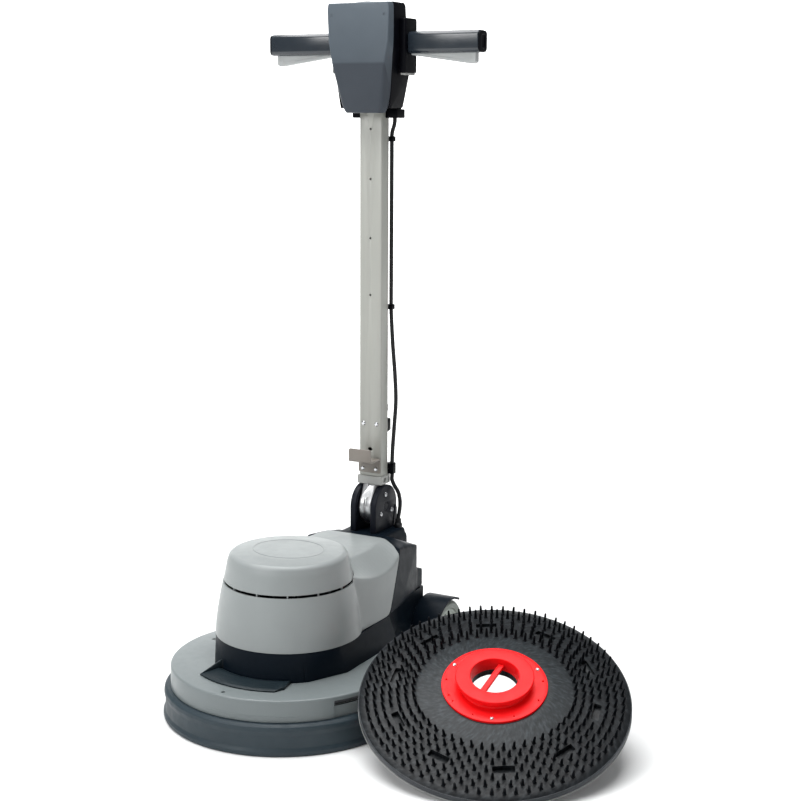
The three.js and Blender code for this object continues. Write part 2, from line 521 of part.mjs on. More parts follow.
// ---- motor ----
const STATOR = { out: 74, bore: 41, z0: 158, z1: 226 };
place("motor_stator", turned([
  [STATOR.bore, STATOR.z0], [STATOR.out, STATOR.z0], [STATOR.out, STATOR.z1], [STATOR.bore, STATOR.z1],
], 36), "copper");
const SHAFT_R = 6;
place("motor_rotor", joined(
  rod("z", SHAFT_R, 128, 262, [0, 0], 16), rod("z", STATOR.bore - 1, STATOR.z0 + 3, STATOR.z1 - 3, [0, 0], 32),
), "steel");
const fanHub = rod("z", 24, 232, 240, [0, 0], 24);
const fanBlades = Array.from({ length: 8 }, (_, i) =>
  solid(new THREE.BoxGeometry(66, 3, 14).translate(51, 0, 239).rotateZ((i * Math.PI) / 4)));
place("cooling_fan", cutFrom(joined(fanHub, rod("z", 84, 230, 232, [0, 0], 32), ...fanBlades),
  rod("z", SHAFT_R + GAP, 220, 260, [0, 0], 16)), "black_plastic");
place("run_capacitor", rod("y", 20, 140, 226, [40, 180], 20), "black_plastic");

// ---- gearbox ----
// Straight-flanked teeth, the first one centred on +X; a share is half a tooth's width over the pitch.
function gearOutline(teeth, tip, tipShare, root, rootShare) {
  const step = 360 / teeth;
  return Array.from({ length: teeth }, (_, i) => {
    const at = (r, share) => {
      const t = rad((i + share) * step);
      return [r * Math.cos(t), r * Math.sin(t)];
    };
    return [at(root, -rootShare), at(tip, -tipShare), at(tip, tipShare), at(root, rootShare)];
  }).flat();
}
const TOOTH = { tip: 0.14, root: 0.3, addendum: 0.75 * GEAR.module, dedendum: 1.1 * GEAR.module };
const pitchR = (teeth) => (teeth * GEAR.module) / 2;
function spurGear(teeth) {
  const outline = gearOutline(teeth, pitchR(teeth) + TOOTH.addendum, TOOTH.tip, pitchR(teeth) - TOOTH.dedendum, TOOTH.root);
  return plate(outline, GEAR.z, GEAR.z + GEAR.face);
}
const sunCollar = rod("z", 4.5, GEAR.z - 1, 127.6, [0, 0], 16);
const sunBore = rod("z", 2, 90, 150, [0, 0], 12);
place("sun_gear", cutFrom(joined(spurGear(GEAR.sun), sunCollar), sunBore), "steel");

const CASE = { out: 62, z0: 86.3, z1: 150 };
const ringBore = pitchR(GEAR.ring) - TOOTH.addendum;
const ringCut = gearOutline(GEAR.ring, pitchR(GEAR.ring) + TOOTH.dedendum, 0.5 - TOOTH.root, ringBore - 1, 0.5 - TOOTH.tip);
const ringSpace = plate(ringCut, 109, 129).rotate([0, 0, 180 / GEAR.ring]);
const caseOutline = [
  [CASE.out + 12, CASE.z0], [CASE.out + 12, CASE.z0 + 6], [CASE.out, CASE.z0 + 8], [CASE.out, 142], [26, CASE.z1],
  [SHAFT_R + 0.5, CASE.z1], [SHAFT_R + 0.5, 140], [54, 136], [54, 129], [ringBore, 129], [ringBore, 109],
  [54, 109], [54, 92], [BEARING_R + 0.5, 92], [BEARING_R + 0.5, CASE.z0],
];
place("gearbox_case", cutFrom(turned(caseOutline, 48), ringSpace), "cast_iron");

const CARRIER_Z = 98;
const PLANET_PIN_R = 5;
const planetRadius = pitchR(GEAR.sun) + pitchR(GEAR.planet);
const planetAngles = [90, 210, 330];
const aroundAxis = (angle) => [planetRadius * Math.cos(rad(angle)), planetRadius * Math.sin(rad(angle))];
place("planet_carrier", joined(
  rod("z", 42, CARRIER_Z, 106, [0, 0], 32), rod("z", BEARING_R, 62, CARRIER_Z + 1, [0, 0], 24),
  ...planetAngles.map((angle) => rod("z", PLANET_PIN_R, 104, 127, aroundAxis(angle), 24)),
), "steel");
planetAngles.forEach((angle, i) => {
  const gear = cutFrom(spurGear(GEAR.planet), rod("z", PLANET_PIN_R + RUNNING, 90, 150, [0, 0], 24));
  const planet = place("planet_gear_" + (i + 1), gear, "steel");
  planet.position.set(...aroundAxis(angle), 0);
  planet.rotation.z = rad(angle);
});

const HUB = { radius: 60, z0: 42, z1: 61.7 };
const hubLugs = [0, 120, 240].map((angle) => {
  const [[x, y]] = arc(HUB.radius - 6, angle, angle, 1);
  return rod("z", 8, HUB.z0 - 12, HUB.z0 + 2, [x, y], 12);
});
place("drive_hub", joined(rod("z", HUB.radius, HUB.z0, HUB.z1, [0, 0], 32), ...hubLugs), "cast_iron");

// ---- drive board, tilted with its lower edge on the floor beside the deck ----
const board = new THREE.Group();
machine.add(board);
const tilt = rad(BOARD.tilt);
const toward = rad(BOARD.toward);
board.rotation.set(0, tilt, toward, "ZYX");
const BAIL = { turn: -25, y0: -11, y1: -1 };
const boardLift = BOARD.radius * Math.sin(tilt) + BOARD.thick * Math.cos(tilt) + BOARD_FLOOR_GAP;
board.position.set(BOARD.x, BOARD.y, boardLift);

// The board is a shallow cone: its middle stands above the plane of its rim.
const FLANGE = { radius: 92, thick: 5, ring: 68, neck: 60, height: 25 };
const coneHeight = (r) => BOARD.rise * Math.min(1, (BOARD.radius - r) / (BOARD.radius - FLANGE.radius - 4));
const SLOTS = { count: 10, radius: 178, length: 38, width: 13, turn: 6, floor: 5 };
const boardSlots = Array.from({ length: SLOTS.count }, (_, i) => {
  const g = new THREE.BoxGeometry(SLOTS.width, SLOTS.length, 60).translate(SLOTS.radius, 0, SLOTS.floor + 30);
  return solid(g.rotateZ(rad((360 / SLOTS.count) * i + SLOTS.turn)));
});
const NUBS = { inner: 134, outer: 228, height: 18 };
const FLAT_R = FLANGE.radius + 4;
const discOutline = [
  [BOARD.hole + 0.5, BOARD.rise - BOARD.thick], [FLAT_R, BOARD.rise - BOARD.thick], [BOARD.radius - 2, -BOARD.thick],
  [BOARD.radius, -BOARD.thick + 2], [BOARD.radius, -1], [BOARD.radius - 1, 0], [FLAT_R, BOARD.rise],
  [BOARD.hole + 0.5, BOARD.rise],
];
place("drive_board", cutFrom(turned(discOutline), ...boardSlots), "board_plastic", board);
const nubOutline = [
  [NUBS.inner, coneHeight(NUBS.inner) + GAP], [NUBS.outer, coneHeight(NUBS.outer) + GAP],
  [NUBS.outer, coneHeight(NUBS.outer) + NUBS.height], [NUBS.inner, coneHeight(NUBS.inner) + NUBS.height],
];
place("nub_field", cutFrom(turned(nubOutline), ...boardSlots), "board_plastic", board);
const flangeFoot = BOARD.rise + GAP;
const flangeTop = BOARD.rise + FLANGE.thick;
place("board_flange", turned([
  [BOARD.hole, flangeFoot], [FLANGE.radius, flangeFoot], [FLANGE.radius, flangeTop - 1], [FLANGE.radius - 1, flangeTop],
  [BOARD.hole, flangeTop],
], 48), "red_plastic", board);
const ringTop = BOARD.rise + FLANGE.height;
place("board_ring", turned([
  [BOARD.hole + 1, flangeTop + GAP], [FLANGE.neck, flangeTop + GAP], [FLANGE.neck, ringTop - 7],
  [FLANGE.ring, ringTop - 7], [FLANGE.ring, ringTop - 1], [FLANGE.ring - 1, ringTop], [BOARD.hole + 2, ringTop],
  [BOARD.hole + 1, ringTop - 1],
], 48), "red_plastic", board);
const bailReach = Math.sqrt(BOARD.hole ** 2 - BAIL.y0 ** 2) - 0.5;
const bailShape = box(-bailReach, bailReach, BAIL.y0, BAIL.y1, flangeTop + 4, flangeTop + 10);
place("board_bail", bailShape, "red_plastic", board).rotation.z = rad(BAIL.turn);

// ---- origin: bottom centre of the whole object ----
const bounds = new THREE.Box3().setFromObject(object, true);
const centre = bounds.getCenter(new THREE.Vector3());
machine.position.set(-centre.x, -centre.y, -bounds.min.z);

export default object;
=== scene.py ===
"""Looks of the rotary floor machine and its drive board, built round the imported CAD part."""

import random
from math import atan2, cos, hypot, pi, radians, sin, tan

import bmesh
import bpy
import numpy as np
from mathutils import Matrix, Vector


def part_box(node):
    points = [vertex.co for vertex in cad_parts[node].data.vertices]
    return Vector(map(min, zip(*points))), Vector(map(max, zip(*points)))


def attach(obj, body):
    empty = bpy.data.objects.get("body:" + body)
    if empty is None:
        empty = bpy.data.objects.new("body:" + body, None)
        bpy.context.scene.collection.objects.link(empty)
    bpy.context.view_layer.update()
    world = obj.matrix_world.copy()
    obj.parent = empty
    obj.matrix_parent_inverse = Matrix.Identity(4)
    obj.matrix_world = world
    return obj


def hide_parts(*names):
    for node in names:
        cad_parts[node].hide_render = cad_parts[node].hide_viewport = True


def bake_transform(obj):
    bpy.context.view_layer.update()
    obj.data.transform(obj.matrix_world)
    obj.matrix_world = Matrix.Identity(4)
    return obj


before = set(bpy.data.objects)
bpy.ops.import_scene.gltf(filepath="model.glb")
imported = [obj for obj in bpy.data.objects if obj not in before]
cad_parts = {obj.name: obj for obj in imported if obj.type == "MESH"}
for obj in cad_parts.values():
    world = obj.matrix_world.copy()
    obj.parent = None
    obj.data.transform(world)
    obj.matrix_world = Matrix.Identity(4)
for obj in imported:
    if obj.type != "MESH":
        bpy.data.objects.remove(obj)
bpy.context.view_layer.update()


def shift(x, y, z):
    return Matrix.Translation((x, y, z))


def spin(degrees, axis="Z"):
    return Matrix.Rotation(radians(degrees), 4, axis)


def scaled(x, y, z):
    return Matrix.Diagonal((x, y, z, 1))


# The drive axis is the middle of the skirt. Shapes below are in millimetres from it, z up from the floor.
skirt_low, skirt_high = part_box("skirt")
AXIS = (skirt_low + skirt_high) / 2
TO_FRAME = shift(AXIS.x, AXIS.y, 0) @ Matrix.Scale(0.001, 4)
scene = bpy.context.scene
shapes = random.Random(574)


# ---- camera ----
HEADING, PITCH, ROLL = radians(28.54), radians(10.476), radians(0.326)
EYE = (1.46182, -2.24980, 1.084)  # metres from the drive axis
LENS, SENSOR = 67.38, 36
forward = Vector((-sin(HEADING) * cos(PITCH), cos(HEADING) * cos(PITCH), -sin(PITCH)))
level = Vector((cos(HEADING), sin(HEADING), 0))
upward = level.cross(forward)
right = cos(ROLL) * level + sin(ROLL) * upward
up = -sin(ROLL) * level + cos(ROLL) * upward
camera_data = bpy.data.cameras.new("camera")
camera_data.lens, camera_data.sensor_width = LENS, SENSOR
camera = bpy.data.objects.new("camera", camera_data)
turn = Matrix((right, up, -forward)).transposed().to_4x4()
camera.matrix_world = shift(AXIS.x + EYE[0], AXIS.y + EYE[1], EYE[2]) @ turn
scene.collection.objects.link(camera)
scene.camera = camera
scene.view_settings.view_transform = "Standard"
scene.view_settings.look = "None"


# ---- materials ----
def linear(code):
    parts = [int(code[i : i + 2], 16) / 255 for i in (1, 3, 5)]
    return (*[c / 12.92 if c < 0.04045 else ((c + 0.055) / 1.055) ** 2.4 for c in parts], 1)


def shade(colour, amount):
    return (*[min(1, c * amount) for c in colour[:3]], 1)


class Surface:
    """A principled material whose colour, roughness and bump come from noise in the piece's own space."""

    def __init__(self, name):
        self.material = bpy.data.materials.new(name)
        self.material.use_nodes = True
        self.tree = self.material.node_tree
        self.shader = self.tree.nodes["Principled BSDF"]
        self.place = self.node("ShaderNodeTexCoord").outputs["Object"]

    def node(self, kind, **settings):
        made = self.tree.nodes.new(kind)
        for key, value in settings.items():
            if hasattr(made, key):
                setattr(made, key, value)
            else:
                made.inputs[key.replace("_", " ")].default_value = value
        return made

    def link(self, source, target):
        self.tree.links.new(source, target)

    def noise(self, scale, detail=3.0, stretch=None, source=None):
        made = self.node("ShaderNodeTexNoise", Scale=scale, Detail=detail)
        vector = source or self.place
        if stretch:
            mapping = self.node("ShaderNodeMapping", Scale=stretch)
            self.link(vector, mapping.inputs["Vector"])
            vector = mapping.outputs["Vector"]
        self.link(vector, made.inputs["Vector"])
        return made.outputs["Fac"]

    def ramp(self, factor, stops):
        made = self.node("ShaderNodeValToRGB")
        elements = made.color_ramp.elements
        while len(elements) < len(stops):
            elements.new(0.5)
        for element, (position, colour) in zip(elements, stops):
            element.position = position
            element.color = linear(colour) if isinstance(colour, str) else colour
        self.link(factor, made.inputs["Fac"])
        return made.outputs["Color"]

    def spread(self, factor, low, high):
        made = self.node("ShaderNodeMapRange", From_Min=0.3, From_Max=0.7, To_Min=low, To_Max=high)
        self.link(factor, made.inputs["Value"])
        return made.outputs["Result"]

    def bump(self, height, distance, strength=1.0, onto=None):
        made = self.node("ShaderNodeBump", Strength=strength, Distance=distance)
        self.link(height, made.inputs["Height"])
        if onto:
            self.link(onto, made.inputs["Normal"])
        self.link(made.outputs["Normal"], self.shader.inputs["Normal"])
        return made.outputs["Normal"]


def plastic(name, code, rough, vary=0.06, grain=1400, depth=0.00004, specular=0.5, metallic=0.0,
            stretch=None, patch=14):
    """A moulded or painted finish: soft patches of tone, fine grain and slightly uneven gloss."""
    surface = Surface(name)
    colour = linear(code)
    patches = surface.noise(patch, 4.0)
    tone = surface.ramp(patches, [(0.3, shade(colour, 1 - vary)), (0.7, shade(colour, 1 + vary))])
    surface.link(tone, surface.shader.inputs["Base Color"])
    worn = surface.noise(60, 5.0, stretch)
    surface.link(surface.spread(worn, rough * 0.86, rough * 1.14), surface.shader.inputs["Roughness"])
    fine = surface.noise(grain, 2.0, stretch)
    first = surface.bump(fine, depth)
    surface.bump(surface.noise(22, 2.0), 0.0004, 0.25, first)
    surface.shader.inputs["Specular IOR Level"].default_value = specular
    surface.shader.inputs["Metallic"].default_value = metallic
    return surface.material


light_plastic = plastic("light_plastic", "#898E8E", 0.38, 0.035, 1500, specular=0.4)
deck_plastic = plastic("deck_plastic", "#707778", 0.34, 0.03, 1500, specular=0.35)
skirt_rubber = plastic("skirt_rubber", "#29353C", 0.5, 0.08, 900, 0.00007, 0.35)
dark_plastic = plastic("dark_plastic", "#0C141C", 0.4, 0.1, 1100, 0.00006, 0.06)
tray_plastic = plastic("tray_plastic", "#1A2429", 0.36, 0.08, 1100, 0.00006, 0.25)
black_plastic = plastic("black_plastic", "#07080D", 0.36, 0.12, 1100, 0.00006, 0.06)
ear_plastic = plastic("ear_plastic", "#151820", 0.4, 0.12, 1000, 0.00007, 0.12)
head_plastic = plastic("head_plastic", "#4F5860", 0.44, 0.05, 1300, 0.00007, 0.3)
grip_plastic = plastic("grip_plastic", "#20272E", 0.19, 0.08, 1600, 0.00002, 0.65)
button_plastic = plastic("button_plastic", "#5E6467", 0.45, 0.03, 1500, specular=0.25)
lever_plastic = plastic("lever_plastic", "#A1A4A4", 0.4, 0.03, 1500)
cable_rubber = plastic("cable_rubber", "#101114", 0.45, 0.12, 2400, 0.00005, 0.35)
tube_paint = plastic("tube_paint", "#9E9F99", 0.34, 0.025, 2600, 0.00003, patch=5)
hook_paint = plastic("hook_paint", "#7B756E", 0.38, 0.06, 2200, 0.00004)
block_paint = plastic("block_paint", "#9C9D9A", 0.4, 0.08, 1800, 0.00006)
cast_iron = plastic("cast_iron", "#55585A", 0.6, 0.14, 700, 0.00022, metallic=0.6)
steel = plastic("steel", "#B4B6B8", 0.3, 0.06, 1800, 0.00003, metallic=1.0, stretch=(1, 1, 12))
screw_steel = plastic("screw_steel", "#C6C8CA", 0.26, 0.08, 2500, 0.00003, metallic=1.0)
copper = plastic("copper_windings", "#9A6A4A", 0.42, 0.14, 300, 0.0004, metallic=0.8, stretch=(1, 1, 9))
tyre_rubber = plastic("tyre_rubber", "#7B817B", 0.6, 0.06, 900, 0.00008)
wheel_plastic = plastic("wheel_plastic", "#8B948B", 0.42, 0.05, 1300, 0.00005)
red_plastic = plastic("red_plastic", "#F01217", 0.38, 0.04, 1400, 0.00004, 0.16)
nub_plastic = plastic("nub_plastic", "#0B0E12", 0.42, 0.2, 1200, 0.00006, 0.12, patch=120)
rim_plastic = plastic("rim_plastic", "#33363A", 0.42, 0.12, 900, 0.00006, 0.2, patch=40)
# painted highlight: the pale grey of the board's thin bottom lip stands for light caught along the rim's edge
lip_painted_highlight = plastic("lip_painted_highlight", "#8E908E", 0.42, 0.12, 900, 0.00006, 0.4, patch=40)


def polished():
    """Bright alloy with drawn scratches and a few darker stains."""
    surface = Surface("polished_alloy")
    stains = surface.noise(38, 5.0)
    tone = surface.ramp(stains, [(0.3, "#A9AAAC"), (0.55, "#C6C7C8"), (0.75, "#DADBDC")])
    surface.link(tone, surface.shader.inputs["Base Color"])
    scratches = surface.noise(1500, 2.0, (1, 0.08, 0.08))
    surface.link(surface.spread(scratches, 0.28, 0.42), surface.shader.inputs["Roughness"])
    surface.bump(scratches, 0.00002)
    surface.shader.inputs["Metallic"].default_value = 1.0
    return surface.material


def flowed():
    """Dark board plastic with streaks round the middle, which follow the mesh's flow layer.

    The layer's third value grows with the radius: the ring under the nubs gets a darker ramp than the bare
    middle, as painted shade of the nubs.
    """
    surface = Surface("board_plastic")
    flow = surface.node("ShaderNodeAttribute", attribute_name="flow").outputs["Vector"]
    streaks = surface.noise(26, 6.0, source=flow)
    fine = surface.noise(90, 4.0, source=flow)
    # painted shade: the darker ramp for the ring under the nubs
    tone = surface.ramp(streaks, [(0.3, "#0D0F12"), (0.5, "#171A1D"), (0.72, "#2C3033")])
    split = surface.node("ShaderNodeSeparateXYZ")
    surface.link(flow, split.inputs[0])
    # 1 in the bare middle, 0 under the nubs, where the painted shade ramp takes over
    middle = surface.node("ShaderNodeMapRange", From_Min=0.5, From_Max=0.58, To_Min=1.0, To_Max=0.0)
    surface.link(split.outputs["Z"], middle.inputs["Value"])
    bare = surface.ramp(streaks, [(0.3, "#14181A"), (0.5, "#202528"), (0.72, "#363C40")])
    blend = surface.node("ShaderNodeMix", data_type="RGBA")
    surface.link(middle.outputs["Result"], blend.inputs[0])
    surface.link(tone, blend.inputs[6])
    surface.link(bare, blend.inputs[7])
    surface.link(blend.outputs[2], surface.shader.inputs["Base Color"])
    surface.link(surface.spread(fine, 0.3, 0.55), surface.shader.inputs["Roughness"])
    first = surface.bump(streaks, 0.0006, 0.6)
    surface.bump(fine, 0.0002, 0.5, first)
    surface.shader.inputs["Specular IOR Level"].default_value = 0.2
    return surface.material


def with_painted_lower_shade():
    """Head plastic with painted shade: its lower panel, which a mesh layer marks, is multiplied darker."""
    material = plastic("head_cover_painted_shade", "#4F5860", 0.42, 0.05, 1300, 0.00007, 0.3)
    tree = material.node_tree
    base = tree.nodes["Principled BSDF"].inputs["Base Color"]
    tone = base.links[0].from_socket
    layer = tree.nodes.new("ShaderNodeAttribute")
    layer.attribute_name = "painted_shade"
    mix = tree.nodes.new("ShaderNodeMix")
    mix.data_type, mix.blend_type = "RGBA", "MULTIPLY"
    # painted shade: the dark grey that the lower panel is multiplied by
    mix.inputs[7].default_value = (0.36, 0.37, 0.41, 1)
    tree.links.new(layer.outputs["Fac"], mix.inputs[0])
    tree.links.new(tone, mix.inputs[6])
    tree.links.new(mix.outputs[2], base)
    return material


polished_alloy = polished()
head_cover_painted_shade = with_painted_lower_shade()
board_plastic = flowed()


# ---- shapes, in millimetres until they become a piece ----
def from_bmesh(name, bm):
    bmesh.ops.recalc_face_normals(bm, faces=bm.faces)
    mesh = bpy.data.meshes.new(name)
    bm.to_mesh(mesh)
    bm.free()
    obj = bpy.data.objects.new(name, mesh)
    scene.collection.objects.link(obj)
    return obj


def from_faces(name, verts, faces):
    bm = bmesh.new()
    made = [bm.verts.new(v) for v in verts]
    for face in faces:
        bm.faces.new([made[i] for i in face])
    return from_bmesh(name, bm)


def bands(first, rings, sides):
    """The faces between rings of vertices, each ring with so many sides, from the first vertex on."""
    return [(a + k, a + (k + 1) % sides, a + sides + (k + 1) % sides, a + sides + k)
            for a in range(first, first + (rings - 1) * sides, sides) for k in range(sides)]


def soft(points, radius=1.0, steps=4):
    """A closed outline of (a, b[, radius]) points with each corner rounded."""
    out = []
    for i, point in enumerate(points):
        here = Vector(point[:2])
        r = point[2] if len(point) > 2 else radius
        a = Vector(points[i - 1][:2]) - here
        b = Vector(points[(i + 1) % len(points)][:2]) - here
        half = a.angle(b) / 2
        if r <= 0 or half > radians(88.5):
            out.append(tuple(here))
            continue
        reach = min(r / tan(half), 0.48 * a.length, 0.48 * b.length)
        r = reach * tan(half)
        centre = here + (a.normalized() + b.normalized()).normalized() * (r / sin(half))
        first, last = here + a.normalized() * reach - centre, here + b.normalized() * reach - centre
        start = atan2(first.y, first.x)
        sweep = (atan2(last.y, last.x) - start + pi) % (2 * pi) - pi
        for k in range(steps + 1):
            t = start + sweep * k / steps
            out.append((centre.x + r * cos(t), centre.y + r * sin(t)))
    return out


def lathe(name, outline, segments=144, matrix=None, span=None):
    """A closed outline of (radius, height) points turned about z; span limits it to a sector."""
    turns = segments if span is None else segments + 1
    start, end = (0, 360) if span is None else span
    matrix = matrix or Matrix()
    verts, rings = [], []
    for i in range(turns):
        t = radians(start + (end - start) * i / segments)
        ring = []
        for j, (r, z) in enumerate(outline):
            if r < 1e-6 and i:
                ring.append(rings[0][j])
                continue
            ring.append(len(verts))
            verts.append(matrix @ Vector((r * cos(t), r * sin(t), z)))
        rings.append(ring)
    faces = []
    count = len(outline)
    for i in range(segments):
        a, b = rings[i], rings[(i + 1) % turns]
        for j in range(count):
            k = (j + 1) % count
            corners = [a[j], b[j], b[k], a[k]]
            corners = [c for n, c in enumerate(corners) if c != corners[n - 1]]
            if len(corners) > 2:
                faces.append(corners)
    if span is not None:
        faces += [rings[0], rings[-1]]
    return from_faces(name, verts, faces)


def prism(name, outline, axis, low, high):
    """An outline extruded along axis x (outline in y, z), y (in x, z) or z (in x, y)."""
    order = {
        "x": lambda a, b, c: (c, a, b), "y": lambda a, b, c: (a, c, b), "z": lambda a, b, c: (a, b, c),
    }[axis]
    count = len(outline)
    verts = [order(a, b, c) for c in (low, high) for a, b in outline]
    sides = [(i, (i + 1) % count, (i + 1) % count + count, i + count) for i in range(count)]
    return from_faces(name, verts, [tuple(range(count)), tuple(range(count, 2 * count)), *sides])


def rectangle(x0, x1, y0, y1, radius=0.0, steps=6):
    return soft([(x1, y1), (x0, y1), (x0, y0), (x1, y0)], radius, steps)


def block(name, x0, x1, y0, y1, z0, z1, radius=0.0):
    return prism(name, rectangle(x0, x1, y0, y1, radius), "z", z0, z1)


def hull(name, points):
    bm = bmesh.new()
    for p in points:
        bm.verts.new(p)
    bmesh.ops.convex_hull(bm, input=bm.verts)
    bmesh.ops.delete(bm, geom=[v for v in bm.verts if not v.link_faces], context="VERTS")
    bmesh.ops.dissolve_limit(bm, angle_limit=radians(0.8), verts=bm.verts, edges=bm.edges)
    return from_bmesh(name, bm)


def arc(radius, start, end, count, centre=(0, 0)):
    angles = [radians(start + (end - start) * i / count) for i in range(count + 1)]
    return [(centre[0] + radius * cos(t), centre[1] + radius * sin(t)) for t in angles]


def polar(radius, degrees):
    return radius * cos(radians(degrees)), radius * sin(radians(degrees))


def both_sides(points):
    return [p for x, y, z in points for p in ((x, y, z), (-x, y, z))]


def along(axis, centre):
    """Stands a turned shape's own z along the axis, from a centre point."""
    turned = {"x": spin(90, "Y"), "y": spin(-90, "X"), "z": Matrix()}
    return Matrix.Translation(centre) @ turned[axis]


def rod(name, axis, radius, low, high, centre, segments=48, round_end=0.0):
    """A round bar along the axis between low and high; centre gives its other two coordinates."""
    a, b = centre
    base = {"x": (0, a, b), "y": (a, 0, b), "z": (a, b, 0)}[axis]
    outline = soft([(0, low, 0), (radius, low, round_end), (radius, high, round_end), (0, high, 0)], 0)
    return lathe(name, outline, segments, along(axis, base))


def settle(obj):
    """Makes the modifiers' result the mesh."""
    if obj.modifiers:
        graph = bpy.context.evaluated_depsgraph_get()
        mesh = bpy.data.meshes.new_from_object(obj.evaluated_get(graph))
        obj.modifiers.clear()
        obj.data = mesh
    return obj


def combine(obj, tools, operation):
    for tool in tools:
        modifier = obj.modifiers.new("combine", "BOOLEAN")
        modifier.operation, modifier.object, modifier.solver = operation, tool, "EXACT"
    settle(obj)
    for tool in tools:
        bpy.data.objects.remove(tool)
    return obj


def cut(obj, *tools):
    return combine(obj, tools, "DIFFERENCE")


def join(obj, *others):
    return combine(obj, others, "UNION")


def bevel(obj, width, segments=3, angle=40):
    modifier = obj.modifiers.new("bevel", "BEVEL")
    modifier.width, modifier.segments, modifier.limit_method = width, segments, "ANGLE"
    modifier.angle_limit = radians(angle)
    modifier.use_clamp_overlap = True
    return settle(obj)


def melt(obj, voxel, rounds):
    """Rebuilds the shape as an even skin and relaxes it, so that joints and corners become smooth saddles."""
    modifier = obj.modifiers.new("skin", "REMESH")
    modifier.mode, modifier.voxel_size = "VOXEL", voxel
    modifier = obj.modifiers.new("relax", "SMOOTH")
    modifier.factor, modifier.iterations = 0.5, rounds
    return settle(obj)


def merge(name, objs):
    """Several shapes that don't touch, as one."""
    bm = bmesh.new()
    for obj in objs:
        bm.from_mesh(obj.data)
        bpy.data.objects.remove(obj)
    return from_bmesh(name, bm)


def mirrored(obj, name):
    """A copy on the other side of x = 0."""
    bm = bmesh.new()
    bm.from_mesh(obj.data)
    bmesh.ops.scale(bm, vec=(-1, 1, 1), verts=bm.verts)
    return from_bmesh(name, bm)


def piece(obj, material, body, replaces=(), sharp=32, matrix=None):
    """Finishes a shape: moves it into the frame and gives it its material and body."""
    settle(obj)
    mesh = obj.data
    mesh.transform(TO_FRAME @ (matrix or Matrix()))
    mesh.materials.clear()
    mesh.materials.append(material)
    mesh.polygons.foreach_set("use_smooth", [True] * len(mesh.polygons))
    mesh.set_sharp_from_angle(angle=radians(sharp))
    if body:
        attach(obj, body)
    if replaces:
        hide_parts(*replaces)
    return obj


def screw(axis, at, radius, height, sign=1):
    """A domed cross-head screw standing out of a face along the axis; sign -1 faces the other way."""
    outline = soft([(0, -0.4, 0), (radius, -0.4, 0), (radius, height * 0.4, height * 0.3),
                    (radius * 0.55, height, height * 0.5), (0, height, 0)], 0, 3)
    facing = along(axis, at) @ scaled(1, 1, sign)
    head = lathe("screw", outline, 24, facing)
    reach, depth = radius * 0.6, height * 0.55
    wide, thin = radius * 0.13, height + 1
    for a, b in ((reach, wide), (wide, reach)):
        tool = block("slot", -a, a, -b, b, depth, thin)
        tool.data.transform(facing)
        cut(head, tool)
    return head


# ---- motor lead: one piece from the gland to the head bracket ----
LEAD_POINTS = [
    (41, 358, 277), (41, 358, 290), (43, 359.5, 306), (44, 360, 325), (41, 357.5, 345), (34.5, 353, 359),
    (30, 351, 371), (30, 351, 378), (30, 351, 393), (30, 351, 408), (31, 351.5, 440), (34, 353, 490),
    (36, 354.5, 536), (34, 353.5, 590), (30, 352, 645), (27, 351, 700), (26, 351, 725), (26, 351, 750),
    (26, 351, 805), (26, 351, 860), (26, 351, 940), (26, 351, 1025), (26, 351, 1054), (26.5, 351, 1066),
    (31, 352, 1082), (32, 352, 1092), (32, 352, 1109),
]
LEAD_RADIUS = 4.0


def smooth_line(points, step):
    """A Catmull-Rom line through the points, one point about every step."""
    points = [Vector(p) for p in points]
    padded = [2 * points[0] - points[1], *points, 2 * points[-1] - points[-2]]
    line = []
    for a, b, c, d in zip(padded, padded[1:], padded[2:], padded[3:]):
        count = max(2, round((c - b).length / step))
        for k in range(count):
            t = k / count
            line.append(0.5 * (2 * b + (c - a) * t + (2 * a - 5 * b + 4 * c - d) * t * t
                               + (3 * b - a - 3 * c + d) * t ** 3))
    return [*line, points[-1]]


def swept(name, line, radius, sides=20):
    """A round cord along a line, closed at both ends."""
    verts = []
    side = Vector((1, 0, 0))
    for i, point in enumerate(line):
        ahead = (line[min(i + 1, len(line) - 1)] - line[max(i - 1, 0)]).normalized()
        side = (side - side.dot(ahead) * ahead).normalized()
        other = ahead.cross(side)
        for k in range(sides):
            t = 2 * pi * k / sides
            verts.append(point + radius * (cos(t) * side + sin(t) * other))
    last = (len(line) - 1) * sides
    ends = [tuple(range(sides)), tuple(range(last, last + sides))]
    return from_faces(name, verts, [*bands(0, len(line), sides), *ends])


lead_line = smooth_line(LEAD_POINTS, 5)
lead = piece(swept("motor_lead_sheath", lead_line, LEAD_RADIUS), cable_rubber, None,
             ["motor_lead", "motor_lead_flex"])
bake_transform(lead)

# ---- skirt and deck ----
piece(lathe("skirt_ring", soft([
    (224.5, 0), (227, 0, 1), (230, 3, 2), (230, 9, 2.5), (226.5, 15, 6), (226, 38, 12), (228.2, 46, 4),
    (227.4, 53, 4), (222, 57.6, 1.2), (211.6, 57.6, 0.5), (211.6, 80, 0.5), (209, 80, 0.5), (209, 54, 2),
    (219, 50, 3), (223.2, 44, 3), (223.2, 14, 2),
], 1, 5), 224), skirt_rubber, "machine", ["skirt"])

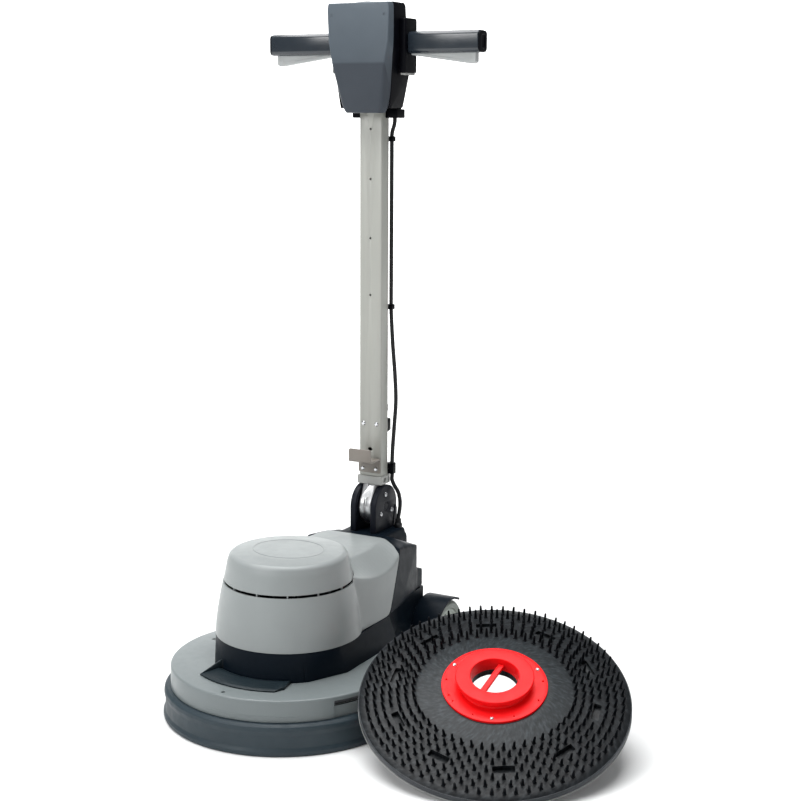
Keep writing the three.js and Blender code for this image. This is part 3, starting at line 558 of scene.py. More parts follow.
NOTCH = (-34.6, -12)  # degrees
deck = lathe("deck_shell", soft([
    (216, 58, 1), (215.3, 98, 3.6), (121, 98, 0.5), (121, 94, 0.5), (211.5, 93.5, 3), (212, 58, 0.8),
], 1, 6), 224)
slot_tool = prism("slot_tool", [*arc(205, *NOTCH, 12), *arc(224, NOTCH[1], NOTCH[0], 12)], "z", 79.5, 89.5)
rebate = prism("rebate", [*arc(213, *NOTCH, 24), *arc(224, NOTCH[1], NOTCH[0], 24)], "z", 50, 89.5)
DECK_HOLES = [(-179, 18), (-4, -200), (179, 18), (60, 195)]
cut(deck, slot_tool, rebate, *[rod("hole", "z", 3.8, 85, 110, centre, 24) for centre in DECK_HOLES])
piece(deck, deck_plastic, "machine", ["deck_cover"], sharp=28)
piece(lathe("deck_shadow_liner", soft([(205, 81), (208, 81), (208, 93), (205, 93)], 0.5), 160), black_plastic,
      "machine")
# painted shade: small black discs just under the deck holes make the holes read dark
piece(merge("deck_hole_shade_discs", [rod("socket", "z", 5, 90.5, 93.4, centre, 24) for centre in DECK_HOLES]),
      black_plastic, "machine")
part_line = soft([(215.9, 68.6), (216.15, 69), (216.1, 69.4), (215.2, 69.4), (215.2, 68.6)], 0.1)
piece(lathe("deck_part_line", part_line, 60, None, (-98, -52)), deck_plastic, "machine")

# ---- base: band, tail and axle housing ----
BAND_TOP, DECK_TOP = 151.7, 98.3
COWL_Y = 9  # the cowl, cap and band sit this far behind the drive axis
BACK = shift(0, COWL_Y, 0)


def band_block(name, inset, z0, z1):
    low = [(x, y, z0) for x, y in arc(140 - inset, -137, -43, 48, (0, COWL_Y))]
    high = [(x, y, z1) for x, y in arc(136.4 - inset, -165, -15, 60, (0, COWL_Y))]
    wings = both_sides([(138 - inset, -10, z0), (138 - inset, 178 - inset, z0), (126.5 - inset, 60, z1),
                        (126.5 - inset, 168 - inset, z1)])
    return hull(name, [*low, *high, *wings])


band = band_block("base_band", 0, DECK_TOP, BAND_TOP)
join(band, hull("tail", both_sides([(132, 150, DECK_TOP), (95, 262, DECK_TOP), (124, 160, BAND_TOP),
                                    (95, 262, BAND_TOP)])),
     block("tail_end", -95, 95, 240, 372, DECK_TOP, BAND_TOP, 6))
cut(band, band_block("hollow", 4, 90, 160), block("hollow", -80, 80, 150, 360, 90, 160))
join(band, block("beam", -95, 95, 234, 396, 46, 104, 5))
cut(band, rod("bore", "x", 8.3, -200, 200, (380, 62), 48))
seam = [(x, y) for r in (137.5, 142) for x, y in arc(r, -46.6, -46.1, 1, (0, COWL_Y))]
cut(band, prism("seam", [seam[0], seam[1], seam[3], seam[2]], "z", 90, 160))
piece(bevel(band, 1.4, 3, 34), dark_plastic, "machine", ["base_frame"], sharp=35)

SCOOP_IN, SCOOP_OUT, SCOOP_HALF = 140.6, 184.5, 28.5
tray = lathe("scoop_tray", soft([
    (SCOOP_IN, DECK_TOP), (SCOOP_OUT, DECK_TOP, 0.5), (SCOOP_OUT, 100.8, 1), (178, 102.4, 6),
    (150, 105.6, 10), (SCOOP_IN, 103.5, 1),
], 0.5), 96, BACK)
outline = [*arc(SCOOP_OUT + 4, -90 - SCOOP_HALF, -90 + SCOOP_HALF - 5, 30),
           *arc(SCOOP_OUT - 12, -90 + SCOOP_HALF, -90 + SCOOP_HALF + 1, 1),
           *arc(SCOOP_IN - 4, -90 + SCOOP_HALF + 6, -90 - SCOOP_HALF, 30)]
outline[31:33] = [(*corner, 10) for corner in outline[31:33]]
keep = prism("keep", soft(outline, 0), "z", 90, 130)
keep.data.transform(BACK)
combine(tray, [keep], "INTERSECT")
piece(bevel(tray, 0.7, 2), tray_plastic, "machine", ["front_scoop"])
fin = prism("scoop_fin", soft([
    (SCOOP_IN, DECK_TOP), (SCOOP_OUT, DECK_TOP), (SCOOP_OUT, 100.5), (SCOOP_IN, 120.5, 1),
], 0.4, 2), "y", -1.4, 1.4)
fin.data.transform(BACK @ spin(-90 - SCOOP_HALF + 0.5))
piece(bevel(fin, 0.5, 2), tray_plastic, "machine")

# ---- cowl with its rear hump, and the cap ----
COWL_BOTTOM, VENT_Z = 152, 249
REAR_LEAN = 0.66
HUMP = [  # y, half widths at foot, side edge and top, heights of side edge and top
    (40, 124, 112, 262, 70, 272), (116, 126, 118, 239, 72, 273), (160, 126, 117, 234, 74, 274.5),
    (262, 120, 107, 266, 62, 276.5),
]


def hump_rings(inset):
    """Cross-sections along y on smooth curves through the measured ones."""
    keys = np.array(HUMP, float)
    fits = [np.polyfit(keys[:, 0], keys[:, k], 3) for k in range(1, 6)]
    rings = []
    for y in np.linspace(keys[0, 0], keys[-1, 0], 23):
        foot, side, side_z, top, top_z = (float(np.polyval(fit, y)) for fit in fits)
        half = [(foot - inset, 140), (side - inset, side_z - inset), (top - inset, top_z - inset)]
        rings.append([(-x, y, z) for x, z in half] + [(x, y, z) for x, z in reversed(half)])
    return rings


def cowl_block(name, inset):
    profile = [(137.2, 146), (136.6, 156), (135.2, 175), (131.2, 203), (126.2, 230), (120.4, 258)]
    body = lathe(name, [(0, 146), *[(r - inset, z) for r, z in profile], (0, 258)], 120, BACK)
    rings = hump_rings(inset)
    verts = [v for ring in rings for v in ring]
    ends = [tuple(range(6)), tuple(range(len(verts) - 6, len(verts)))]
    return join(body, from_faces("hump", verts, [*bands(0, len(rings), 6), *ends]))


def rear_plane(z):
    return 172 + (z - COWL_BOTTOM) * REAR_LEAN


cowl = melt(cowl_block("cowl_shell", 0), 1.9, 20)
inner = melt(cowl_block("cowl_inner", 4), 3.2, 4)
cut(cowl, inner)
keep = prism("keep", soft([
    (-300, COWL_BOTTOM), (rear_plane(COWL_BOTTOM), COWL_BOTTOM, 26), (rear_plane(340), 340), (-300, 340),
], 0, 10), "x", -300, 300)
combine(cowl, [keep], "INTERSECT")
cut(cowl, lathe("cap_clear", [(0, VENT_Z), (122.2, VENT_Z), (115.6, 285), (115.6, 330), (0, 330)], 160, BACK))
piece(cowl, light_plastic, "machine", ["motor_cowl"], sharp=38)
gate = hull("cowl_gate_mark", [
    (-1.2, 0, 0), (1.2, 0, 0), (-0.6, 0, 11), (0.6, 0, 11), (-1.2, 1.4, 0), (1.2, 1.4, 0), (0, 1.1, 12),
])
gate.data.transform(BACK @ spin(-49 - 90) @ shift(0, 135.4, 160) @ spin(8, "X"))
piece(bevel(gate, 0.25, 2, 30), light_plastic, "machine")

CAP_FOOT, CAP_SHOULDER, CAP_TOP = 254, 285, 308.4
cap = lathe("cap_shell", soft([
    (120.3, CAP_FOOT, 0.8), (113.6, CAP_SHOULDER + 3, 60), (108.5, 303.8, 17), (70, 307.2, 60),
    (0, CAP_TOP, 0), (0, 304.5, 0), (88, 303, 15), (108.5, 297, 14), (116.3, CAP_FOOT, 0.8),
], 1, 12), 192, BACK)
ribs = []
for index in range(13):
    rib = block("rib", 115, 119.5, -1.2, 1.2, 249.3, 257)
    rib.data.transform(BACK @ spin(360 / 13 * index - 3))
    ribs.append(rib)
piece(cap, light_plastic, "machine", ["motor_cap"], sharp=40)
piece(merge("cap_ribs", ribs), light_plastic, "machine")


def oval_ring(name, half_x, half_y, width, low, high, centre, segments=128):
    """A flat oval band with rounded edges."""
    section = soft([(-width / 2, low), (width / 2, low), (width / 2, high), (-width / 2, high)],
                   width * 0.4, 3)
    verts, faces, count = [], [], len(section)
    for i in range(segments):
        t = 2 * pi * i / segments
        for offset, z in section:
            x, y = (half_x + offset) * cos(t), (half_y + offset) * sin(t)
            drop = 1.25 * (hypot(x, y) / 70) ** 2  # the cap's top curves down
            verts.append((centre[0] + x, centre[1] + y, z - drop))
    for i in range(segments):
        n = (i + 1) % segments
        faces += [(i * count + j, n * count + j, n * count + (j + 1) % count, i * count + (j + 1) % count)
                  for j in range(count)]
    return from_faces(name, verts, faces)


oval = oval_ring("cap_oval_line", 68, 59, 1.6, 307.8, 308.9, (0, COWL_Y))
piece(oval, light_plastic, "machine")

# ---- dark rear housing, hinge pedestal and lead gland ----
housing = hull("rear_housing_shell", both_sides([
    (124, 174, 152), (106, rear_plane(262), 263), (60, rear_plane(270), 271), (60, 292, 269),
    (95, 290, 262), (95, 340, 246), (95, 340, 152), (118, 230, 152),
]))
join(housing,
     hull("step", both_sides([(95, 330, 152), (95, 330, 200), (92, 370, 152), (92, 370, 189)])),
     hull("pedestal", both_sides([
         (52, 266, 250), (54, 374, 252), (48, 268, 272), (50, 366, 272), (52, 376, 200), (52, 330, 180)])))
melt(housing, 2.2, 6)
cut(housing, hull("front", both_sides([
    (200, 90, 100), (200, 90, 340), (200, rear_plane(100) + 0.4, 100), (200, rear_plane(340) + 0.4, 340)])))
cut(housing, block("hollow", -86, 86, 150, 330, 140, 236), block("below", -300, 300, 0, 500, 100, 152))
piece(housing, dark_plastic, "machine", ["rear_housing"], sharp=38)
plate = hull("pedestal_plate", [(x, y, z) for x in (-33, 33) for y in (276, 372) for z in (270.5, 272.3)])
piece(bevel(plate, 0.5, 2, 30), dark_plastic, "machine")
piece(lathe("lead_gland_nut", soft([
    (4.3, 271.5), (8.2, 271.5, 0.5), (8.2, 279, 1), (6.8, 280.5, 0.5), (6.2, 282, 0.4), (6.6, 283, 0.4),
    (6.0, 284.5, 0.4), (6.4, 286, 0.4), (5.6, 290, 1), (4.3, 290),
], 0.3, 3), 36, shift(41, 358, 0)), cable_rubber, "machine", ["lead_gland"])

# ---- hinge ----
HINGE_Y, HINGE_Z, EAR_IN, EAR_OUT = 328, 321, 16.6, 29.5


def ear_outline(radius):
    low = 272.4
    return [(HINGE_Y - radius, low), (HINGE_Y + radius, low), *arc(radius, 0, 180, 40, (HINGE_Y, HINGE_Z))]


for side, sign in (("right", 1), ("left", -1)):
    ear = prism("hinge_ear_plate_" + side, ear_outline(44), "x", sign * EAR_IN, sign * EAR_OUT)
    cut(ear, rod("bore", "x", 8.1, -60, 60, (HINGE_Y, HINGE_Z), 40))
    piece(bevel(ear, 1.6), ear_plastic, "machine", ["hinge_ear_" + side])
    rib = prism("hinge_ear_rib_" + side, soft([
        (HINGE_Y + 28, 272.4), (HINGE_Y + 43, 272.4), (HINGE_Y + 43, 309, 3), (HINGE_Y + 36, 322, 3),
    ], 1), "x", sign * (EAR_OUT - 0.5), sign * (EAR_OUT + 1.6))
    piece(bevel(rib, 0.7, 2), ear_plastic, "machine")
    heads = [screw("x", (sign * EAR_OUT, y, z), 5.0, 2.6, sign)
             for y, z in ((325.5, 346), (351, 309), (306.7, 308))]
    piece(merge("hinge_ear_screws_" + side, heads), screw_steel, "machine")
pin = rod("hinge_pin_bar", "x", 8, -EAR_OUT + 0.4, EAR_OUT - 0.4, (HINGE_Y, HINGE_Z), 48, 0.8)
piece(pin, ear_plastic, "machine", ["hinge_pin"])

drum = lathe("hinge_drum_casting", soft([
    (8.1, -15.9), (33, -15.9, 2), (36.9, -12.5, 6), (36.6, -2.6, 5), (34.8, -1.2, 1), (34.8, 1.2, 1),
    (36.6, 2.6, 5), (36.9, 12.5, 6), (33, 15.9, 2), (8.1, 15.9),
], 0.8, 5), 112, along("x", (0, HINGE_Y, HINGE_Z)))
neck = hull("neck", both_sides([(-15.7, 295, 336), (-15.7, 360, 336), (-15.7, 312, 369), (-15.7, 345, 369)]))
join(drum, bevel(neck, 5, 4, 30), rod("rib", "z", 2.2, 340, 369, (-3, 309), 24))
cut(drum, rod("rod_hole", "z", 2.8, 340, 400, (14, 352), 20))
piece(bevel(drum, 0.5, 2), polished_alloy, "handle", ["hinge_drum"], sharp=40)
shoulder = block("hinge_shoulder_block", -28, 28, 310, 346, 367, 384)
join(shoulder, block("boss", 7, 21, 340, 358, 367, 384))
cut(shoulder, rod("rod_hole", "z", 2.8, 340, 400, (14, 352), 20),
    block("window", 24, 40, 338, 343, 371, 380), block("window", 24, 40, 320, 330, 371, 380))
piece(bevel(shoulder, 1.0), block_paint, "handle")
piece(block("tube_spigot", -22.6, 22.6, 315.4, 340.6, 384, 424, 2), steel, "handle")

# ---- handle tube and what is on it ----
TUBE_FRONT, TUBE_REAR, TUBE_LOW, TUBE_HIGH = 313, 343, 384.3, 1180
section = rectangle(-25, 25, TUBE_FRONT, TUBE_REAR, 3.4, 8)
tube = prism("handle_tube_section", section, "z", TUBE_LOW, TUBE_HIGH)
cut(tube, block("hollow", -23, 23, 315, 341, 300, 1300, 1.5),
    *[rod("hole", "y", 2.3, 300, 330, (0, z), 20) for z in (750, 862, 977, 1073)],
    lathe("oval", soft([(0, -8, 0), (3.6, -8, 0), (3.6, 20, 0), (0, 20, 0)], 0), 24,
          shift(0, TUBE_FRONT, 439) @ scaled(1.5, 1, 1) @ along("y", (0, 0, 0))))
piece(bevel(tube, 0.5, 2, 50), tube_paint, "handle", ["handle_tube"], sharp=30)
plug = block("tube_top_plug", -22.8, 22.8, 315.2, 340.8, 1170, 1179, 1.4)
piece(plug, black_plastic, "handle")

FRONT = TUBE_FRONT - 0.3
hook = prism("cable_hook_bracket", soft([
    (FRONT, 391), (FRONT, 421.6, 3.2), (FRONT - 39.4, 421.6, 0.8), (FRONT - 39.4, 446, 0.8),
    (FRONT - 42, 446, 0.8), (FRONT - 42, 419, 3.2), (FRONT - 2.6, 419, 0.8), (FRONT - 2.6, 391),
], 0.5, 5), "x", -25, 25)
keep = prism("keep", soft([(-25, 446, 4), (-25, 391, 3), (25, 391, 3), (25, 446, 4)], 3), "y", 250, 330)
combine(hook, [keep], "INTERSECT")
piece(bevel(hook, 0.35, 2), hook_paint, "handle", ["cable_hook"])
face_screws = [screw("y", (x, TUBE_FRONT, 491), 4.7, 2.4, -1) for x in (-14.7, 14.7)]
face_screws += [screw("y", (x, FRONT - 2.6, 399), 4.2, 2.0, -1) for x in (-15, 15)]
piece(merge("tube_screws", face_screws), screw_steel, "handle")


def lead_clip(name, node, x, z, half):
    body = prism(name, soft([
        (19.5, TUBE_REAR + 0.3), (x + 6.5, TUBE_REAR + 0.3, 1), (x + 6.5, 357.5, 4), (19.5, 357.5, 4),
    ], 1, 4), "z", z - half, z + half)
    cut(body, rod("bore", "z", LEAD_RADIUS + 0.3, z - half - 5, z + half + 5, (x, 351), 32))
    return piece(bevel(body, 0.6, 2), black_plastic, "handle", [node])


lead_clip("lead_clip_saddle_low", "lead_clip_lower", 30, 396, 11)
lead_clip("lead_clip_saddle_mid", "lead_clip_middle", 26, 725, 5)
lead_clip("lead_clip_saddle_top", "lead_clip_upper", 26, 1054, 5)

guide = prism("release_guide_bracket", soft([
    (TUBE_REAR + 0.3, 470), (359, 473, 2), (359, 497, 2), (TUBE_REAR + 0.3, 500)], 1), "x", 8, 22)
cut(guide, rod("bore", "z", 2.8, 460, 510, (14, 352), 24))
piece(bevel(guide, 0.7, 2), black_plastic, "handle", ["release_guide"])
piece(lathe("release_rod_pull", soft([
    (0, 371, 0), (2.5, 371, 0.6), (2.5, 512, 0.2), (5, 513, 1), (6, 516, 1.5), (5, 519, 1), (6, 522, 1.5),
    (5, 526, 1.5),
    (0, 526, 0)], 0, 3), 32, shift(14, 352, 0)), steel, "release", ["release_rod"])

# ---- head ----
HEAD_FRONT, HEAD_SPLIT, HEAD_REAR, HEAD_TOP, HEAD_LOW = 263, 280, 353, 1308, 1112
SPLIT_BEND, COVER_LOW, SPLIT_LEAN = 1215, 1103, 13


def split_y(z):
    return HEAD_SPLIT + max(0, SPLIT_BEND - z) * SPLIT_LEAN / (SPLIT_BEND - COVER_LOW)


def head_cover(name, inset, behind):
    front = [(65.5, HEAD_TOP - 1), (67.5, HEAD_TOP - 10), (65, 1240), (57, 1196)]
    low = [(42, 1112), (35, COVER_LOW)]
    back = [(66, HEAD_TOP), (68, HEAD_TOP - 8), (68, SPLIT_BEND), (56.4, 1118), (48, COVER_LOW)]
    points = [(x - inset, HEAD_FRONT + inset, z - (2 if inset else 0)) for x, z in front]
    points += [(x - inset, HEAD_FRONT + 18 + inset, z + inset) for x, z in low]
    points += [(x - inset, split_y(z) + behind, z + (-inset if z > 1200 else inset)) for x, z in back]
    return hull(name, both_sides(points))


cover = bevel(head_cover("head_cover", 0, 8), 4, 5, 7)
behind_split = prism("behind", [
    (HEAD_SPLIT, 1330), (HEAD_SPLIT, SPLIT_BEND), (split_y(COVER_LOW), COVER_LOW),
    (split_y(COVER_LOW), 1080), (340, 1080),
    (340, 1330)], "x", -90, 90)
cut(cover, behind_split, head_cover("inner", 3.4, 2))
cut(cover, *[rod("dimple", "y", 2.8, 250, HEAD_FRONT + 0.9, (x, 1284), 24, 0.6) for x in (-57, 57)])
# painted shade on the lower panel: 1 below z 1193, fading to 0 by z 1201
painted_shade = cover.data.attributes.new("painted_shade", "FLOAT", "POINT")
painted_shade.data.foreach_set("value", [min(1.0, max(0.0, (1201 - v.co.z) / 8)) for v in cover.data.vertices])
piece(cover, head_cover_painted_shade, "handle", ["head_front_cover"], sharp=40)

SHELL = 66.5


def shell_face(name, inset):
    right_side = [(SHELL - inset, 1330), (SHELL - inset, SPLIT_BEND), (55 - inset, HEAD_LOW - 2)]
    return prism(name, [(-x, z) for x, z in right_side] + right_side[::-1], "y", 200, 400)


shell = prism("head_shell", soft([
    (HEAD_SPLIT + 0.3, SPLIT_BEND, 0), (split_y(HEAD_LOW) + 0.3, HEAD_LOW, 0.5), (341, HEAD_LOW + 1, 6),
    (HEAD_REAR, 1174, 8), (HEAD_REAR, 1278, 6), (332, 1281, 5), (330, 1302, 3), (324, HEAD_TOP, 6),
    (HEAD_SPLIT + 0.3, HEAD_TOP, 0.5),
], 1, 6), "x", -SHELL, SHELL)
combine(shell, [shell_face("keep", 0)], "INTERSECT")
bevel(shell, 3.5, 4, 50)
hollow = prism("hollow", [
    (265, HEAD_LOW + 4), (338, HEAD_LOW + 5), (HEAD_REAR - 4, 1176), (HEAD_REAR - 4, 1274), (328, 1277),
    (326, 1297),
    (321, HEAD_TOP - 4), (265, HEAD_TOP - 4)], "x", -SHELL, SHELL)
combine(hollow, [shell_face("inner", 4)], "INTERSECT")
BAR_Y0, BAR_Y1, BAR_Z0, BAR_Z1 = 318.7, 339.3, 1243.7, 1252.3
cut(shell, hollow, block("tube_way", -25.4, 25.4, TUBE_FRONT - 0.4, TUBE_REAR + 0.4, 1100, 1145),
    block("bar_way", -90, 90, BAR_Y0, BAR_Y1, BAR_Z0, BAR_Z1),
    rod("button_way", "z", 14.3, 1280, 1330, (0, 300), 40))
piece(shell, black_plastic, "handle", ["head_rear_shell"], sharp=38)
BUTTON_PLACE = shift(0, 300, 0)
collar = lathe("lock_button_collar", soft([
    (14.4, HEAD_TOP - 0.2), (33, HEAD_TOP - 0.2, 0.2), (24, HEAD_TOP + 1.8, 8), (16, HEAD_TOP + 2.4, 1),
    (14.4, HEAD_TOP + 1.6),
], 0.3, 4), 64, BUTTON_PLACE @ scaled(1, 0.58, 1))
piece(collar, head_plastic, "handle")
button = lathe("lock_button_cap", soft([
    (0, 1292, 0), (14, 1292, 0.5), (14, 1311, 3), (8, 1310.6, 10), (0, 1310.4, 0),
], 0, 5), 48, BUTTON_PLACE)
piece(button, button_plastic, "button", ["lock_button"])
mount = block("head_bracket_plate", -50, 50, 326, 362, 1094, HEAD_LOW - 1, 4)
cut(mount, block("way", -25.3, 25.3, 300, 343.3, 1080, 1120),
    rod("bore", "z", 4.3, 1080, 1120, (32, 352), 32))
piece(bevel(mount, 1), black_plastic, "handle", ["head_bracket"])
neck = block("head_bracket_neck", -48, 48, 344, 351, 1110.8, 1127, 3)
piece(bevel(neck, 1), black_plastic, "handle")

GRIP_Y, GRIP_Z, GRIP_START, GRIP_END = 329, 1234.6, 80.3, 228
BAR_Z = 1244
for side, sign in (("right", 1), ("left", -1)):
    clamp = prism("clamp_housing_" + side, soft([
        (304, 1178, 4), (304, 1280, 5), (350, 1280, 5), (350, 1178, 4),
    ], 1, 5), "x", SHELL + 0.3, GRIP_START - 0.3)
    cut(clamp, block("bar_way", 60, 90, BAR_Y0, BAR_Y1, BAR_Z0, BAR_Z1))
    bevel(clamp, 1.8, 3, 50)
    foot = prism("foot", soft([(308, 1174.5), (346, 1174.5), (346, 1182), (308, 1182)], 1.5), "x",
                 SHELL + 2, GRIP_START - 2)
    section = rectangle(GRIP_Y - 17, GRIP_Y + 17, GRIP_Z - 20.5, GRIP_Z + 20.5, 9, 8)
    grip = prism("grip_section", section, "x", GRIP_START, GRIP_END)
    bevel(grip, 1.6, 3, 50)
    cut(grip, block("slot", GRIP_START - 5, GRIP_END - 5, GRIP_Y - 9, GRIP_Y + 9, 1200, BAR_Z),
        block("bar_way", GRIP_START - 5, GRIP_END - 3.7, BAR_Y0, BAR_Y1, BAR_Z0, BAR_Z1),
        rod("trunnion_way", "y", 3.3, GRIP_Y - 14, GRIP_Y + 14, (88, 1222), 24))
    section = rectangle(GRIP_Y - 16, GRIP_Y + 16, GRIP_Z - 19.5, GRIP_Z + 19.5, 8, 8)
    end = prism("end_plug", section, "x", GRIP_END + 0.3, GRIP_END + 3.3)
    cut(end, prism("recess", rectangle(GRIP_Y - 8, GRIP_Y + 8, GRIP_Z - 12, GRIP_Z + 12, 5), "x",
                   GRIP_END + 1.4, 260))
    bevel(end, 0.9, 3, 50)
    lever = prism("lever_blade", soft([
        (83, 1226, 2), (83, 1211.5, 3), (213, 1193.5, 6), (219, 1197, 3), (219, 1221, 3), (209, 1223, 3),
        (100, 1227, 4),
    ], 2, 5), "y", GRIP_Y - 7, GRIP_Y + 7)
    cut(lever, prism("groove", soft([
        (110, 1213), (203, 1200), (209, 1204), (209, 1214), (112, 1219),
    ], 3, 4), "y", GRIP_Y - 12, GRIP_Y - 6))
    bevel(lever, 1.4, 3, 50)
    join(lever, rod("trunnion", "y", 3, GRIP_Y - 13, GRIP_Y + 13, (88, 1222), 24))
    parts = [(clamp, black_plastic, "handle", "dark_plastic", ["clamp_block_"]),
             (foot, block_paint, "handle", "dark_plastic", []),
             (grip, grip_plastic, "handle", "black_plastic", ["grip_"]),
             (end, black_plastic, "handle", "black_plastic", ["grip_cap_"]),
             (lever, lever_plastic, "lever_" + side, "light_plastic", ["lever_"])]
    for obj, material, body, slot_name, nodes in parts:
        name = obj.name.split(".")[0].replace("_right", "")
        if sign < 0:
            flipped = mirrored(obj, name + "_left")
            bpy.data.objects.remove(obj)
            obj = flipped
        obj.name = name.replace("_left", "") + "_" + side
        piece(obj, material, body, [n + side for n in nodes], sharp=38)

# ---- wheels, guards and axle ----
WHEEL_Y, WHEEL_Z = 380, 62
for side, sign in (("right", 1), ("left", -1)):
    outward = scaled(sign, 1, 1) @ along("x", (0, WHEEL_Y, WHEEL_Z))
    rim = lathe("wheel_disc_" + side, soft([
        (8.1, 105), (14, 105, 1), (16, 108, 1), (44, 110, 2), (46, 109, 1), (46, 146, 1.5), (42, 146, 1),
        (39, 143, 2), (22, 141.5, 3), (18, 145, 2), (16, 148, 1.5), (8.1, 148),
    ], 0.8, 4), 96, outward)
    well = soft([(0, 138, 0), (6.5, 138, 1.5), (7.5, 160, 0), (0, 160, 0)], 0)
    cut(rim, *[lathe("well", well, 32, outward @ shift(*polar(30, 60 * index + 12), 0))
               for index in range(6)])
    piece(rim, wheel_plastic, "wheel_" + side, ["wheel_rim_" + side])
    piece(lathe("wheel_tread_" + side, soft([
        (46.3, 107), (56, 105, 3), (62, 110, 5), (62, 124.5, 0.4), (60.8, 125.5, 0.4), (60.8, 129.5, 0.4),
        (62, 130.5, 0.4), (62, 145, 5), (56, 150, 4), (50, 149, 2), (46.3, 147.5)], 0.8, 5), 120, outward),
        tyre_rubber, "wheel_" + side, ["wheel_tyre_" + side])
    arch = prism("wheel_arch_" + side, [
        *arc(70, 60, 160, 40, (WHEEL_Y, WHEEL_Z)), *arc(66, 160, 60, 40, (WHEEL_Y, WHEEL_Z))],
        "x", sign * 95.3, sign * 155)
    web = prism("web", arc(69.5, 60, 160, 40, (WHEEL_Y, WHEEL_Z)), "x", sign * 95.3, sign * 99)
    join(arch, cut(web, rod("bore", "x", 12, -130, 130, (WHEEL_Y, WHEEL_Z), 40)))
    piece(bevel(arch, 1.2), dark_plastic, "machine", ["wheel_guard_" + side])

# ---- drive board, built flat and then leaned as the CAD board is ----
BOARD_R, BOARD_THICK, BOARD_RISE, BOARD_HOLE, BOARD_FLAT = 238, 12, 30, 41, 96
TILT, TOWARD = radians(21.93), radians(-65.87)
LIFT = BOARD_R * sin(TILT) + BOARD_THICK * cos(TILT) + 0.4
BOARD_X, BOARD_Y = 428.1, 0.8
LEAN = shift(BOARD_X, BOARD_Y, LIFT) @ Matrix.Rotation(TOWARD, 4, "Z") @ Matrix.Rotation(TILT, 4, "Y")


def cone(r):
    return BOARD_RISE * min(1, (BOARD_R - r) / (BOARD_R - BOARD_FLAT))


def board_piece(obj, material, replaces=(), sharp=32):
    return piece(obj, material, "board", replaces, sharp, LEAN)


steps = [(r, cone(r)) for r in range(BOARD_R - 4, BOARD_FLAT, -10)]
disc = lathe("board_disc", [
    (BOARD_HOLE + 0.5, BOARD_RISE), (BOARD_HOLE + 0.5, BOARD_RISE - BOARD_THICK),
    (BOARD_FLAT, BOARD_RISE - BOARD_THICK),
    (BOARD_R - 4, -BOARD_THICK), (BOARD_R - 2.5, -BOARD_THICK + 0.4), (BOARD_R - 2.5, -0.6), *steps,
    (BOARD_FLAT, BOARD_RISE),
], 192)
SLOT_ANGLES = [36 * i + 6 for i in range(10)]
SLOT_R, SLOT_LENGTH, SLOT_WIDTH = 178, 38, 13


def slot_cutter(angle, grow=0.0):
    half_w, half_l = SLOT_WIDTH / 2 + grow, SLOT_LENGTH / 2 + grow
    tool = prism("slot", rectangle(SLOT_R - half_w, SLOT_R + half_w, -half_l, half_l, 2, 4), "z", 5, 60)
    tool.data.transform(spin(angle))
    return tool


cut(disc, *[slot_cutter(angle) for angle in SLOT_ANGLES])
positions = np.array([v.co for v in disc.data.vertices])
radii = np.hypot(positions[:, 0], positions[:, 1])
swirl = np.arctan2(positions[:, 1], positions[:, 0]) + radii * 0.0035
flow = disc.data.attributes.new("flow", "FLOAT_VECTOR", "POINT")
around = np.stack([np.cos(swirl), np.sin(swirl), radii * 0.004], 1)
flow.data.foreach_set("vector", around.astype(np.float32).ravel())
board_piece(disc, board_plastic, ["drive_board"], sharp=40)
board_piece(lathe("board_rim_band", soft([
    (BOARD_R - 2.4, -9.8), (BOARD_R - 0.8, -9.8, 0.3), (BOARD_R - 0.4, -0.8, 0.8), (BOARD_R - 1, 0.1, 0.5),
    (BOARD_R - 2.4, 0.2),
], 0.3, 3), 224), rim_plastic)
# the board's bottom lip, pale all round as a painted highlight of the rim's edge
board_piece(lathe("board_rim_lip", soft([
    (BOARD_R - 2.4, -BOARD_THICK + 0.2), (BOARD_R - 0.4, -BOARD_THICK + 0.2, 0.6),
    (BOARD_R, -BOARD_THICK + 1.2, 0.5), (BOARD_R - 0.3, -9.9, 0.4), (BOARD_R - 2.4, -9.9),
], 0.2, 3), 224), lip_painted_highlight)


def in_slot(x, y):
    for angle in SLOT_ANGLES:
        t = radians(angle)
        across = x * cos(t) + y * sin(t) - SLOT_R
        beside = -x * sin(t) + y * cos(t)
        if abs(across) < SLOT_WIDTH / 2 + 3 and abs(beside) < SLOT_LENGTH / 2 + 3:
            return True
    return False


NUB_ROWS, NUB_FIRST_R, NUB_LAST_R = 7, 139.5, 221.5
NUBS_APART_FIRST, NUBS_APART_LAST = 7.2, 5.25  # degrees
FOOT_LEVELS = ((3.4, -0.6), (3.2, 1.1), (2.8, 1.5))  # half width, height


